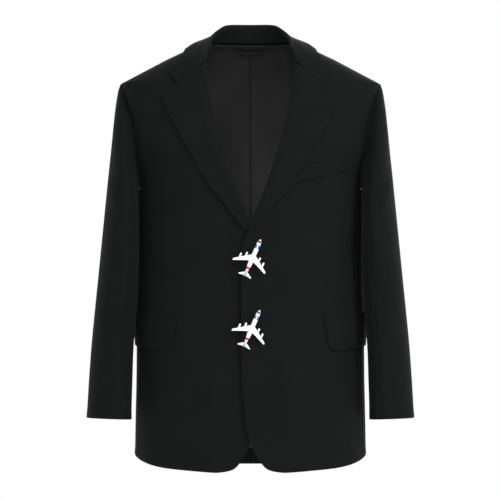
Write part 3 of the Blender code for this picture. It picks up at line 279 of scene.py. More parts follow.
# hanger loop: half width, thickness, distance inside the neck at its ends, more in the middle, crown
LOOP_HALF = 0.003
LOOP_THICK = 0.0012
LOOP_INSIDE = 0.006
LOOP_BOW = 0.0035
LOOP_CROWN = 0.0002

# start of the sleeve over the armhole: rise at the head, more at front and back, outward, and arm depth
HEAD_RISE = 0.0004
OPEN_RISE = 0.0016
OPEN_OUT = 0.002
ARM_DEPTH = 0.062
SLEEVE_SEAM_DIP = 0.0009

# real distance round the sleeve and down it, for the slope of its creases, and roundness of its section
SLEEVE_SPANS = (0.46, 0.62)
SLEEVE_POWER = 2.3
RING_COUNT = 24

# scale of the wave texture that gives bands one metre apart
WAVE_PER_METRE = 0.31416

# colours
WOOL_DARK = (0.0044, 0.0052, 0.0049)
WOOL_LIGHT = (0.0071, 0.008, 0.0076)
LINING_DARK = (0.0114, 0.0114, 0.0115)
LINING_LIGHT = (0.015, 0.015, 0.0151)
# darker white enamel, painted shade in the hollows of its bump
ENAMEL_IN_HOLLOW_SHADE = (0.74, 0.74, 0.73)
ENAMEL = (0.86, 0.86, 0.85)
MARK_BLUE = (0.03, 0.16, 0.45)
MARK_RED = (0.55, 0.03, 0.03)
# dark enamel of the windows and cockpit, also painted shade in the engines' intakes
WINDOW_PRINT_AND_INTAKE_SHADE = (0.03, 0.035, 0.04)

CAMERA_AWAY = 12.0
VIEW_WIDTH = 0.94
VIEW_CENTRE = (-0.0008, -0.3798)
FLOOR_Z = -1.35
FLOOR_HALF = 4
MIRROR = np.array([-1, 1, 1])


def linear(table, key, column=1):
    """Value of a column at key, straight between rows."""
    rows = sorted(table, key=lambda row: row[0])
    return float(np.interp(key, [r[0] for r in rows], [r[column] for r in rows]))


def rounded(table, key, column=1):
    """Like linear, but smooth through the rows and without overshoot."""
    rows = sorted(table, key=lambda row: row[0])
    keys = [row[0] for row in rows]
    vals = [row[column] for row in rows]
    if key <= keys[0]:
        return vals[0]
    if key >= keys[-1]:
        return vals[-1]
    at = 0
    while key > keys[at + 1]:
        at += 1

    def slope(i):
        if i == 0 or i == len(keys) - 1:
            return 0.0
        before = (vals[i] - vals[i - 1]) / (keys[i] - keys[i - 1])
        after = (vals[i + 1] - vals[i]) / (keys[i + 1] - keys[i])
        if before * after <= 0.0:
            return 0.0
        return 2.0 * before * after / (before + after)

    width = keys[at + 1] - keys[at]
    t = (key - keys[at]) / width
    start, end = slope(at) * width, slope(at + 1) * width
    return ((2 * t**3 - 3 * t**2 + 1) * vals[at] + (t**3 - 2 * t**2 + t) * start
            + (3 * t**2 - 2 * t**3) * vals[at + 1] + (t**3 - t**2) * end)


HEIGHTS = np.arange(-0.84, 0.0301, 0.0005)
LOOK_WIDTH = np.array([linear(RIDGE, z) if z > HEAD_Z else rounded(BODY, z) for z in HEIGHTS])
LOOK_MIDDLE = np.array([rounded(CENTRE, z) for z in HEIGHTS])
LOOK_FRONT = np.array([rounded(DEPTH, z, 1) for z in HEIGHTS]) + LOOK_MIDDLE
LOOK_BACK = np.array([rounded(DEPTH, z, 2) for z in HEIGHTS]) - LOOK_MIDDLE
LOOK_POWER = np.array([rounded(DEPTH, z, 3) for z in HEIGHTS])


def look(column, z):
    """Value of a column of the form at height z."""
    return np.interp(z, HEIGHTS, column)


def ease(value, low, high):
    """Soft step from 0 at low to 1 at high."""
    t = np.clip((value - low) / (high - low), 0.0, 1.0)
    return t * t * (3.0 - 2.0 * t)


def unit(vectors):
    """The same directions with length 1."""
    return vectors / np.maximum(np.linalg.norm(vectors, axis=-1, keepdims=True), 1e-12)


def torso(angle, z):
    """Points on the outside of the torso form; angle in radians from the side, front positive."""
    angle, z = np.asarray(angle, float), np.asarray(z, float)
    depth = np.where(np.sin(angle) > 0, look(LOOK_FRONT, z), look(LOOK_BACK, z))
    power = look(LOOK_POWER, z)
    reach = (np.abs(np.cos(angle) / look(LOOK_WIDTH, z))**power
             + np.abs(np.sin(angle) / depth)**power)**(-1.0 / power)
    return np.stack([reach * np.cos(angle), look(LOOK_MIDDLE, z) - reach * np.sin(angle), z], axis=-1)


def torso_out(angle, z):
    """Outward directions of the torso form."""
    across = torso(angle + 0.004, z) - torso(angle - 0.004, z)
    upward = torso(angle, z + 0.0015) - torso(angle, z - 0.0015)
    out = np.cross(across, upward)
    here = torso(angle, z)
    inwards = out[..., 0] * here[..., 0] + out[..., 1] * (here[..., 1]) < 0
    return unit(np.where(inwards[..., None], -out, out))


def placed(angle, z):
    """Points of the torso form and its outward directions there."""
    return torso(angle, z), torso_out(angle, z)


def raised(points, outs, lift):
    """Points moved outwards by lift."""
    return points + outs * np.asarray(lift)[..., None]


def front_angle(x, z):
    """Angle of the points of the front that show at (x, z) in front view."""
    width, power = look(LOOK_WIDTH, z), look(LOOK_POWER, z)
    inside = np.maximum(0.0, 1.0 - (np.minimum(np.abs(x), width) / width)**power)
    return np.arctan2(look(LOOK_FRONT, z) * inside**(1.0 / power), x)


def arm_angle(z, y):
    """Angle of the point of the form at height z and depth y, on the +X side."""
    width, power = look(LOOK_WIDTH, z), look(LOOK_POWER, z)
    y = y - look(LOOK_MIDDLE, z)
    depth = np.where(y < 0, look(LOOK_FRONT, z), look(LOOK_BACK, z))
    x = width * np.maximum(0.0, 1.0 - (np.abs(y) / depth)**power)**(1.0 / power)
    return float(np.arctan2(-y, x))


def sink(x, z):
    """How far the lapped-under front lies behind the form; x is measured towards its own edge."""
    return UNDER_SINK * ease(-x, -0.075, -0.024) * ease(-z, 0.20, 0.30)


def resample(grid, at, axis=0):
    """Smooth values at fractional indices along one axis, through the given rows."""
    grid = np.moveaxis(np.asarray(grid, float), axis, 0)
    shape = (-1,) + (1,) * (grid.ndim - 1)
    rises = np.diff(grid, axis=0)
    steps = np.linalg.norm(rises.reshape(len(rises), -1), axis=1).reshape(shape) + 1e-9
    rises = rises / steps
    slopes = np.empty_like(grid)
    slopes[0], slopes[-1] = rises[0], rises[-1]
    slopes[1:-1] = (rises[:-1] * steps[1:] + rises[1:] * steps[:-1]) / (steps[:-1] + steps[1:])
    low = np.clip(np.floor(at).astype(int), 0, len(grid) - 2)
    t, width = (at - low).reshape(shape), steps[low]
    out = ((2 * t**3 - 3 * t**2 + 1) * grid[low] + (t**3 - 2 * t**2 + t) * slopes[low] * width
           + (3 * t**2 - 2 * t**3) * grid[low + 1] + (t**3 - t**2) * slopes[low + 1] * width)
    return np.moveaxis(out, 0, axis)


def fractions(count, fine, near_start=False):
    """Fractional indices over count rows, with extra ones close to the seams at the end, or at both ends."""
    close = np.array([0.025, 0.06, 0.11])
    at = [np.linspace(0, count - 1, (count - 1) * fine + 1), count - 1 - close]
    return np.sort(np.concatenate(at + [close] if near_start else at))


def nearest(points):
    """(angle, z) of the places of the torso form nearest to points."""
    z = points[..., 2].copy()
    angle = np.arctan2(look(LOOK_MIDDLE, z) - points[..., 1], points[..., 0])
    for _ in range(14):
        miss = points - torso(angle, z)
        by_angle = (torso(angle + 0.002, z) - torso(angle - 0.002, z)) / 0.004
        by_z = (torso(angle, z + 0.0005) - torso(angle, z - 0.0005)) / 0.001
        a, b, c = (by_angle**2).sum(-1), (by_angle * by_z).sum(-1), (by_z**2).sum(-1)
        e, f = (by_angle * miss).sum(-1), (by_z * miss).sum(-1)
        span = np.maximum(a * c - b * b, 1e-12)
        angle = angle + 0.7 * np.clip((c * e - b * f) / span, -0.2, 0.2)
        z = z + 0.7 * np.clip((a * f - b * e) / span, -0.02, 0.02)
    return angle, z


def patch(bottom, top, inner, outer):
    """Grid of (angle, z) between four border lists: rows run from bottom to top."""
    bottom, top, inner, outer = (np.array(line, float) for line in (bottom, top, inner, outer))
    low, high = torso(bottom[:, 0], bottom[:, 1]), torso(top[:, 0], top[:, 1])
    first, last = torso(inner[:, 0], inner[:, 1]), torso(outer[:, 0], outer[:, 1])
    v = np.linspace(0, 1, len(inner))[:, None, None]
    u = np.linspace(0, 1, len(bottom))[None, :, None]
    points = (low[None] * (1 - v) + high[None] * v + first[:, None] * (1 - u) + last[:, None] * u
              - low[0] * (1 - u) * (1 - v) - low[-1] * u * (1 - v) - high[0] * (1 - u) * v - high[-1] * u * v)
    angle, z = nearest(points)
    grid = np.stack([angle, z], axis=-1)
    grid[0], grid[-1], grid[:, 0], grid[:, -1] = bottom, top, inner, outer
    return grid


def hem(angle):
    """Height of the hem at an angle."""
    return rounded(HEM, math.degrees(angle))


def hem_line(first, last, steps):
    """The hem between two angles."""
    angles = [first + (last - first) * j / steps for j in range(steps + 1)]
    return [(angle, hem(angle)) for angle in angles]


def armhole_line(table):
    """Rows of an armhole table as (angle, z), from the lowest up."""
    return [(arm_angle(z, y), z) for z, y in reversed(table)]


def side_line(table, hole):
    """Side seam from the hem up to the armhole's lowest row, as (angle, z)."""
    low_angle = math.radians(linear(table, -0.77))
    line = [(low_angle, hem(low_angle))] + [(math.radians(linear(table, z)), z) for z in SIDE_ROWS[::-1]]
    return line + armhole_line(hole[-1:])


def shoulder_line(high_steps, low_steps):
    """Shoulder seam from the neck point over the bend of the ridge to the sleeve head."""
    high = [(0.0, NECK_Z + (BEND_Z - NECK_Z) * j / high_steps) for j in range(high_steps)]
    return high + [(0.0, BEND_Z + (HEAD_Z - BEND_Z) * j / low_steps) for j in range(low_steps + 1)]


def on_front(places):
    """Places of the front, (x, z) in front view, as (angle, z)."""
    return [(float(front_angle(x, z)), z) for x, z in places]


def front_grid(side):
    """Front panel in (angle, z), from its hem to the shoulder seam."""
    outer = side_line(FRONT_SEAM_ANGLE, ARMHOLE_FRONT) + armhole_line(ARMHOLE_FRONT[:-1])
    roll = ROLL[side]
    by_height = [(z, x) for x, z in roll]
    flat = FRONT_EDGE + [(roll[-1][0] + EDGE_FROM_ROLL, -0.3415)]
    flat += [(linear(by_height, z) + EDGE_FROM_ROLL, z) for z in ROLL_ROWS] + NECK_EDGE
    inner = on_front(flat) + [(0.0, NECK_Z)]
    start = on_front(HEM_CORNER)
    bottom = start + hem_line(start[-1][0], outer[0][0], 8)[1:]
    return patch(bottom, shoulder_line(4, 6), inner, outer)


def back_grid():
    """Back panel in (angle, z), from the centre back out to the side seam and armhole."""
    outer = side_line(BACK_SEAM_ANGLE, ARMHOLE_BACK) + armhole_line(ARMHOLE_BACK[:-1])
    middle = -math.pi / 2
    inner = [(middle, hem(middle))] + [(middle, z) for z in BACK_ROWS]
    neckline = [(middle * (1 - j / 4), BACK_NECK_Z + (NECK_Z - BACK_NECK_Z) * j / 4) for j in range(4)]
    return patch(hem_line(middle, outer[0][0], 10), neckline + shoulder_line(3, 3), inner, outer)


def side_grid():
    """Side panel in (angle, z), from the back seam to the front seam."""
    front, back = side_line(FRONT_SEAM_ANGLE, ARMHOLE_FRONT), side_line(BACK_SEAM_ANGLE, ARMHOLE_BACK)
    top = back[-1:] + armhole_line(ARMHOLE_UNDER) + front[-1:]
    return patch(hem_line(back[0][0], front[0][0], len(top) - 1), top, back, front)


def creases(x, z, table):
    """Height of soft ridges and troughs: rows are start, end, half width and height."""
    total = 0.0
    for x0, z0, x1, z1, wide, high in table:
        length = math.dist((x0, z0), (x1, z1))
        run_x, run_z = (x1 - x0) / length, (z1 - z0) / length
        share = ((x - x0) * run_x + (z - z0) * run_z) / length
        d = (z - z0) * run_x - (x - x0) * run_z
        ridge = np.exp(-(d / wide)**2) - BANK_SHARE * np.exp(-((np.abs(d) - BANK_AWAY * wide) / wide)**2)
        total = total + high * np.sin(np.pi * np.clip(share, 0.0, 1.0))**CREASE_FADE * ridge
    return total


def border_distance(points, edge):
    """Distance of each grid point from one border, along the grid lines."""
    axis = 0 if "row" in edge else 1
    grid = np.flip(points, axis) if "last" in edge else points
    steps = np.linalg.norm(np.diff(grid, axis=axis), axis=-1)
    shape = list(steps.shape)
    shape[axis] = 1
    out = np.concatenate([np.zeros(shape), np.cumsum(steps, axis=axis)], axis=axis)
    return np.flip(out, axis) if "last" in edge else out


def head_fade(points):
    """Less of a groove at the sleeve head and under the arm, where the sleeve lies close."""
    x, z = points[..., 0], points[..., 2]
    head = ease(x, 0.200, 0.222) * ease(z, -0.115, -0.078)
    under = ease(x, 0.195, 0.203) * ease(z, -0.305, -0.285) * (1 - ease(z, -0.245, -0.225))
    return 1 - 0.8 * np.maximum(head, under)


def outer_edges(points, edges, profile):
    """Largest value of a profile of the distance from the named borders."""
    return np.max([profile(border_distance(points, edge)) for edge in edges], axis=0)


def seam_dip(points, edges, dip=SEAM_DIP, width=SEAM_WIDTH):
    """How far the cloth turns down into the seams at the named borders."""
    return outer_edges(points, edges, lambda d: dip * np.exp(-(d / width)**2)) * head_fade(points)


def pull(points, edges, gap=SEAM_GAP):
    """Moves borders inwards by half a seam gap."""
    out = points.copy()
    for edge in edges:
        axis = 0 if "row" in edge else 1
        moved, still = (np.flip(grid, axis) if "last" in edge else grid for grid in (out, points))
        moved, still = np.moveaxis(moved, axis, 0), np.moveaxis(still, axis, 0)
        moved[0] = still[0] + unit(still[1] - still[0]) * gap
    return out


def edge_swell(points, edges, high=0.0006, width=0.007):
    """A pressed, layered edge stands a little higher than the single cloth beside it."""
    return outer_edges(points, edges, lambda d: high * (1 - ease(d, 0.5 * width, 1.6 * width)))


def stitching(points, edges, dip, near, wide):
    """A line of stitching that sinks a little, parallel to the named edges."""
    return outer_edges(points, edges, lambda d: dip * np.exp(-((d - near) / wide)**2))


def add_object(name, data):
    """A new object in the scene."""
    item = bpy.data.objects.new(name, data)
    bpy.context.scene.collection.objects.link(item)
    return item


def smooth_mesh(name, verts, faces):
    """A new smooth-shaded mesh."""
    mesh = bpy.data.meshes.new(name)
    mesh.from_pydata(verts.tolist(), [], faces)
    mesh.update()
    mesh.polygons.foreach_set("use_smooth", [True] * len(mesh.polygons))
    return mesh


def read_array(items, name, width, kind):
    """One property of all items of a mesh, as rows of the given width."""
    values = np.empty(len(items) * width, kind)
    items.foreach_get(name, values)
    return values.reshape(-1, width)


def face_outwards(mesh):
    """Turns all faces round if they face inwards."""
    mesh.calc_loop_triangles()
    corners = read_array(mesh.loop_triangles, "vertices", 3, int)
    a, b, c = np.moveaxis(read_array(mesh.vertices, "co", 3, float)[corners], 1, 0)
    if (a * np.cross(b, c)).sum() < 0:
        mesh.flip_normals()


def cloth(name, outer, inner, finish, node, side=1, seams=()):
    """Closed thin shell between two grids of points, with a rounded rim and a UV map in metres.

    Seams maps an edge to how its inner half passes under (1) or keeps clear of (-1) the next piece.
    """
    if side < 0:
        outer, inner = outer * MIRROR, inner * MIRROR
    rows, cols = outer.shape[:2]
    seams = {edge: np.broadcast_to(how, (cols if "row" in edge else rows,))
             for edge, how in dict(seams).items()}
    ring = ([(0, j) for j in range(cols)] + [(i, cols - 1) for i in range(1, rows)]
            + [(rows - 1, j) for j in range(cols - 2, -1, -1)] + [(i, 0) for i in range(rows - 2, 0, -1)])
    middle = []
    inner = inner.copy()
    for i, j in ring:
        borders = ((i == 0, "first_row", j, (1, j)), (i == rows - 1, "last_row", j, (rows - 2, j)),
                   (j == 0, "first_col", i, (i, 1)), (j == cols - 1, "last_col", i, (i, cols - 2)))
        here, shift, sewn = outer[i, j], np.zeros(3), False
        for on_border, edge, place, neighbour in borders:
            if on_border and edge in seams and seams[edge][place] != 0:
                sewn = True
                how = TUCK if seams[edge][place] > 0 else -TUCK - 2 * SEAM_GAP
                shift = shift + unit(here - outer[neighbour]) * how
        rim = (here + inner[i, j]) / 2
        if sewn:
            inner[i, j] = inner[i, j] + shift
        else:
            shift = unit(here - outer[min(max(i, 1), rows - 2), min(max(j, 1), cols - 2)]) * RIM
        middle.append(rim + shift)
    verts = np.concatenate([outer.reshape(-1, 3), inner.reshape(-1, 3), np.array(middle)])
    back, mid, count = rows * cols, 2 * rows * cols, len(ring)
    faces = []
    for i in range(rows - 1):
        for a in range(i * cols, (i + 1) * cols - 1):
            b, c, d = a + 1, a + cols + 1, a + cols
            faces += [(a, b, c, d), (a + back, d + back, c + back, b + back)]
    for k in range(count):
        after = (k + 1) % count
        a, b = (i * cols + j for i, j in (ring[k], ring[after]))
        faces += [(a, mid + k, mid + after, b), (a + back, b + back, mid + after, mid + k)]
    mesh = smooth_mesh(name, verts, faces)
    flat = np.stack([border_distance(outer, "first_col"), border_distance(outer, "first_row")], axis=-1)
    rim_flat = [flat[place] for place in ring]
    every = np.concatenate([flat.reshape(-1, 2), flat.reshape(-1, 2), rim_flat])
    loops = read_array(mesh.loops, "vertex_index", 1, int)[:, 0]
    mesh.uv_layers.new(name="cloth").data.foreach_set("uv", every[loops].ravel())
    mesh.materials.append(finish)
    item = add_object(name, mesh)
    face_outwards(mesh)
    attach(item, "root")
    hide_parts(node)


def set_inputs(tree, node, inputs):
    """Gives inputs of a shader node their values or links."""
    for name, value in inputs.items():
        if isinstance(value, bpy.types.NodeSocket):
            tree.links.new(value, node.inputs[name])
        else:
            node.inputs[name].default_value = value


def add_node(tree, kind, output, inputs, **settings):
    """One output of a new shader node with the given settings and inputs."""
    node = tree.nodes.new("ShaderNode" + kind)
    for name, value in settings.items():
        setattr(node, name, value)
    set_inputs(tree, node, inputs)
    return node.outputs[output]


def mixed_colour(tree, dark, light, share):
    """A colour between two, by a share from another node."""
    inputs = {"A": (*dark, 1), "B": (*light, 1), "Factor": share}
    return add_node(tree, "Mix", "Result", inputs, data_type="RGBA")


def material(name, rough, specular, sheen=0.0, coat=0.0):
    """A new Principled material; returns it with its node tree and shader."""
    made = bpy.data.materials.new(name)
    made.use_nodes = True
    shader = made.node_tree.nodes["Principled BSDF"]
    set_inputs(made.node_tree, shader, {"Roughness": rough, "Specular IOR Level": specular,
                                        "Sheen Weight": sheen, "Sheen Roughness": 0.45, "Coat Weight": coat})
    return made, made.node_tree, shader


def woven(name, dark, light, rough, specular, sheen, pitch, slant, depth, mottle, painted_low_shade=1.0):
    """Cloth with a diagonal weave of the given pitch in metres, and faint patches of lighter colour.

    Its last argument paints shade: below 1 the colour darkens softly from chest height down to the waist, as
    the lining deep inside the jacket lies in shadow.
    """
    made, tree, shader = material(name, rough, specular, sheen)
    flat = add_node(tree, "UVMap", "UV", {}, uv_map="cloth")
    spot = add_node(tree, "TexCoord", "Object", {})
    turn = add_node(tree, "Mapping", "Vector", {"Rotation": (0, 0, math.radians(slant)), "Vector": flat})
    ribs = add_node(tree, "TexWave", "Fac", {
        "Scale": WAVE_PER_METRE / pitch, "Distortion": 0.6, "Detail": 2.0, "Detail Scale": 3.0,
        "Vector": turn}, wave_type="BANDS")
    fuzz = add_node(tree, "TexNoise", "Fac", {"Scale": 900.0, "Detail": 3.0, "Vector": flat})
    patches = add_node(tree, "TexNoise", "Fac", {
        "Scale": 14.0, "Detail": 5.0, "Roughness": 0.6, "Vector": spot})
    grain = add_node(tree, "Math", 0, {0: ribs, 1: 0.45, 2: -0.35 * mottle}, operation="MULTIPLY_ADD")
    mix = add_node(tree, "Math", 0, {0: patches, 1: mottle, 2: grain}, operation="MULTIPLY_ADD")
    colour = mixed_colour(tree, dark, light, mix)
    height = add_node(tree, "SeparateXYZ", "Z", {"Vector": spot})
    # painted shade: the colour is scaled down from chest height to the waist
    painted_shade_fall = add_node(tree, "MapRange", "Result", {
        "From Min": -0.42, "From Max": -0.16, "To Min": painted_low_shade, "To Max": 1.0, "Value": height})
    painted_shade_colour = add_node(tree, "VectorMath", "Vector", {0: colour, "Scale": painted_shade_fall}, operation="SCALE")
    relief = add_node(tree, "Math", 0, {0: ribs, 1: fuzz}, operation="ADD")
    normal = add_node(tree, "Bump", "Normal", {"Strength": 0.35, "Distance": depth, "Height": relief})
    set_inputs(tree, shader, {"Base Color": painted_shade_colour, "Normal": normal})
    return made


def enamel(name, dark, light, rough, coat, coat_rough, cloud_scale, cloud_detail, bump):
    """Glossy enamel with faint unevenness, slightly darker in its hollows, which is painted shade."""
    made, tree, shader = material(name, rough, 0.5, 0.0, coat)
    spot = add_node(tree, "TexCoord", "Object", {})
    cloud = add_node(tree, "TexNoise", "Fac", {"Scale": cloud_scale, "Detail": cloud_detail, "Vector": spot})
    # painted shade: one noise sets both colour and bump, so the colour darkens in the hollows
    colour = mixed_colour(tree, dark, light, cloud)
    normal = add_node(tree, "Bump", "Normal", {"Strength": bump, "Distance": 0.00008, "Height": cloud})
    set_inputs(tree, shader, {"Coat Roughness": coat_rough, "Base Color": colour, "Normal": normal})
    return made


def accent(name, colour):
    """Enamel accent of one colour."""
    return enamel(name, [c * 0.75 for c in colour], colour, 0.25, 0.5, 0.03, 220.0, 2.0, 0.0)


WOOL = woven("wool_suiting", WOOL_DARK, WOOL_LIGHT, 0.90, 0.05, 0.015, 0.0009, 63, 0.00012, 0.9)
# the lining's 0.62 is painted shade, darker from chest height down to the waist
SATIN = woven("satin_lining", LINING_DARK, LINING_LIGHT, 0.48, 0.22, 0.04, 0.0004, 45, 0.00004, 1.0, 0.62)
TAPE = woven("loop_tape", WOOL_DARK, LINING_DARK, 0.6, 0.2, 0.05, 0.0006, 90, 0.00010, 0.8)
PLANE_FINISHES = (enamel("white_enamel", ENAMEL_IN_HOLLOW_SHADE, ENAMEL, 0.22, 0.6, 0.08, 160.0, 3.0, 0.12),
                  accent("blue_enamel", MARK_BLUE), accent("red_enamel", MARK_RED),
                  accent("dark_enamel", WINDOW_PRINT_AND_INTAKE_SHADE))


def dart_fold(x, z):
    """Shallow groove of the front dart."""
    (top_x, top_z), (low_x, low_z) = DART
    along_dart = ease(-z, 0.29, 0.33) * (1 - ease(-z, 0.492, 0.5))
    d = x - top_x - (low_x - top_x) * (z - top_z) / (low_z - top_z)
    shoulders = DART_SHOULDER * np.exp(-((np.abs(d) - 0.007) / 0.005)**2)
    return along_dart * (shoulders - DART_DEPTH * np.exp(-(d / 0.0016)**2))


def front_border(side, z):
    """x of the inner border of a front at height z, with the lapel's break rounded off."""
    up = [(x + EDGE_FROM_ROLL, h) for x, h in reversed(ROLL[side]) if h > -0.33]
    line = FRONT_EDGE_DENSE + BREAK[side] + up + NECK_EDGE + [(0.089, NECK_Z)]
    return np.interp(z, [p[1] for p in line], [p[0] for p in line])


def panel(coarse, more, near_start=False):
    """Finer rows, columns and (angle, z) grid of a body panel."""
    rows, cols = fractions(coarse.shape[0], FINE), fractions(coarse.shape[1], FINE + more, near_start)
    return rows, cols, resample(resample(coarse, rows, 0), cols, 1)


def sewn_panel(title, node, points, outs, lift, seams, side):
    """Cloth of a body panel whose face stands out from the form by lift."""
    outer, inner = raised(points, outs, lift), raised(points, outs, lift - WALL)
    word = WORDS[side]
    cloth(title + word, pull(outer, seams), pull(inner, seams), WOOL, node + word, side, seams)


def front_cloth(side):
    """Front with its creases, dart, seams and swelling edge."""
    rows, cols, fine = panel(front_grid(side), 1)
    edge_angle, edge_z = fine[:, 0, 0].copy(), fine[:, 0, 1]
    wanted = np.where(edge_z > -0.028, edge_angle, front_angle(front_border(side, edge_z), edge_z))
    fine[:, :, 0] += (wanted - edge_angle)[:, None] * (1 - ease(cols / cols[-1], 0.0, 0.35))
    points, outs = placed(fine[..., 0], fine[..., 1])
    x, z = points[..., 0], points[..., 2]
    calm = ease(border_distance(points, "last_col"), *CREASE_CLEAR)
    lift = creases(x, z, FRONT_CREASES) * ease(x, -0.02, 0.03) * calm + dart_fold(x, z)
    lift = lift + edge_swell(points, ["first_col", "first_row"]) - seam_dip(points, ["last_col", "last_row"])
    if side < 0:
        lift = lift - sink(x, z)
    else:
        near = np.exp(-(border_distance(points, "first_col") / OVERLAP_FADE)**2)
        lift = lift + OVERLAP_LIFT * near * ease(-z, 0.345, 0.38)
    sewn_panel("front_cloth_", "front_", points, outs, lift, {"last_col": 1, "last_row": 1}, side)


def side_cloth(side):
    """Side panel, plain between its seams."""
    fine = panel(side_grid(), 0, True)[2]
    points, outs = placed(fine[..., 0], fine[..., 1])
    seams = {"first_col": 1, "last_col": -1, "last_row": 1}
    lift = edge_swell(points, ["first_row"]) - seam_dip(points, seams)
    sewn_panel("side_cloth_", "side_panel_", points, outs, lift, seams, side)


def back_cloth(side):
    """Back with its creases, and the lining that hangs inside it."""
    rows, cols, fine = panel(back_grid(), 1, True)
    points, outs = placed(fine[..., 0], fine[..., 1])
    x, z = points[..., 0], points[..., 2]
    seams = {"first_col": side, "last_col": np.where(rows <= HOLE_ROW, -1, 1),
             "last_row": np.where(cols > NECK_COLUMN, -1, 0)}
    calm = ease(border_distance(points, "last_col"), *CREASE_CLEAR)
    lift = creases(x, z, BACK_CREASES) * (1.0 if side > 0 else 0.85) * ease(x, 0.0, 0.02) * calm
    lift = lift - seam_dip(points, seams) + edge_swell(points, ["first_row"])
    sewn_panel("back_cloth_", "back_", points, outs, lift, seams, side)

    inside = (slice(3, len(rows) - 1), slice(0, len(cols) - 5))
    behind = WALL + LINING_BEHIND + LINING_CLEAR * ease(np.abs(x), 0.165, 0.215) * ease(z, -0.13, -0.085)
    ripple = LINING_RIPPLE * np.sin(x * 95 + 2.5 * np.sin(z * 14)) * ease(np.abs(x), 0.01, 0.05)
    behind = behind + np.abs(ripple) + seam_dip(points, ["first_col"], *LINING_SEAM)
    face = raised(points, outs, -behind)[inside]
    hidden = face - outs[inside] * LINING_THICK
    face, hidden = pull(face, ["first_col"]), pull(hidden, ["first_col"])
    word = WORDS[side]
    cloth("lining_cloth_" + word, face, hidden, SATIN, "lining_back_" + word, side, {"first_col": side})


def armhole_border(at):
    """(angle, z) on the armhole at places round it, on the same curves as the body pieces' borders."""
    front, under, back = front_grid(1), side_grid(), back_grid()
    rows = []
    for place in at:
        if place <= 9:
            rows.append(resample(front, np.array([20 - place]), 0)[0, -1])
        elif place <= 15:
            rows.append(resample(under, np.array([15 - place]), 1)[-1, 0])
        else:
            rows.append(resample(back, np.array([place - 4]), 0)[0, -1])
    return np.array(rows)


def sleeve_rings(at):
    """Closed rings of the left sleeve, from the armhole to the cuff, and its first ring on the inside."""
    points, outs = placed(*armhole_border(at).T)
    tangents = unit(np.roll(points, -1, 0) - np.roll(points, 1, 0))
    holes = unit(np.cross(tangents, outs))
    wrong = (holes * (points.mean(0) - points)).sum(-1) < 0
    holes = np.where(wrong[:, None], -holes, holes)
    top, low = points[0], points[int(np.argmin(np.abs(at - 11)))]
    middle, half = (top + low) / 2, (top - low) / 2
    turns = np.arctan2(-points[:, 1] / ARM_DEPTH, ((points - middle) @ half) / (half @ half))
    c, s = np.cos(turns), np.sin(turns)
    reach = (np.abs(c)**SLEEVE_POWER + np.abs(s)**SLEEVE_POWER)**(-1 / SLEEVE_POWER)
    open_side = 1 - np.abs(c)**4
    base = raised(points, outs, HEAD_RISE + OPEN_RISE * open_side)
    base = base + np.array([OPEN_OUT, 0, 0]) * open_side[:, None]
    rings = []
    for ox, oz, ix, iz, yc, depth, free in SLEEVE:
        outer, inner = np.array([ox, SLEEVE_TURN, oz]), np.array([ix, -SLEEVE_TURN, iz])
        target = (outer + inner) / 2 + (outer - inner) / 2 * (c * reach)[:, None]
        target[:, 1] += yc - depth * s * reach
        rings.append(base * (1 - free) + target * free)
    run = unit(rings[0] - points)
    bend = np.maximum(0.0, np.arctan2((run * outs).sum(-1), (run * holes).sum(-1)))[:, None]
    start = raised(points + holes * SEAM_GAP * 2, outs, -SEAM_DIP * head_fade(points))
    return np.array([start] + rings), start + (holes * np.sin(bend) - outs * np.cos(bend)) * WALL


def shell_inside(rings, first):
    """Inner side of closed rings, one wall behind them."""
    around = np.roll(rings, -1, 1) - np.roll(rings, 1, 1)
    down = np.gradient(rings, axis=0)
    out = unit(np.cross(around, down))
    wrong = (out * (rings - rings.mean(1, keepdims=True))).sum(-1) < 0
    out = np.where(wrong[..., None], -out, out)
    inside = rings - out * WALL
    inside[0] = first
    inside[1] = inside[1] * 0.5 + (rings[1] + (first - rings[0])) * 0.5
    return inside, out


def smooth_along(points, shares):
    """Points at shares of the length of a smooth line through the given points."""
    points = np.array(points, float)
    steps = np.linalg.norm(np.diff(points, axis=0), axis=1)
    places = np.concatenate([[0.0], np.cumsum(steps)]) / steps.sum()
    return resample(points, np.interp(shares, places, np.arange(len(points))))


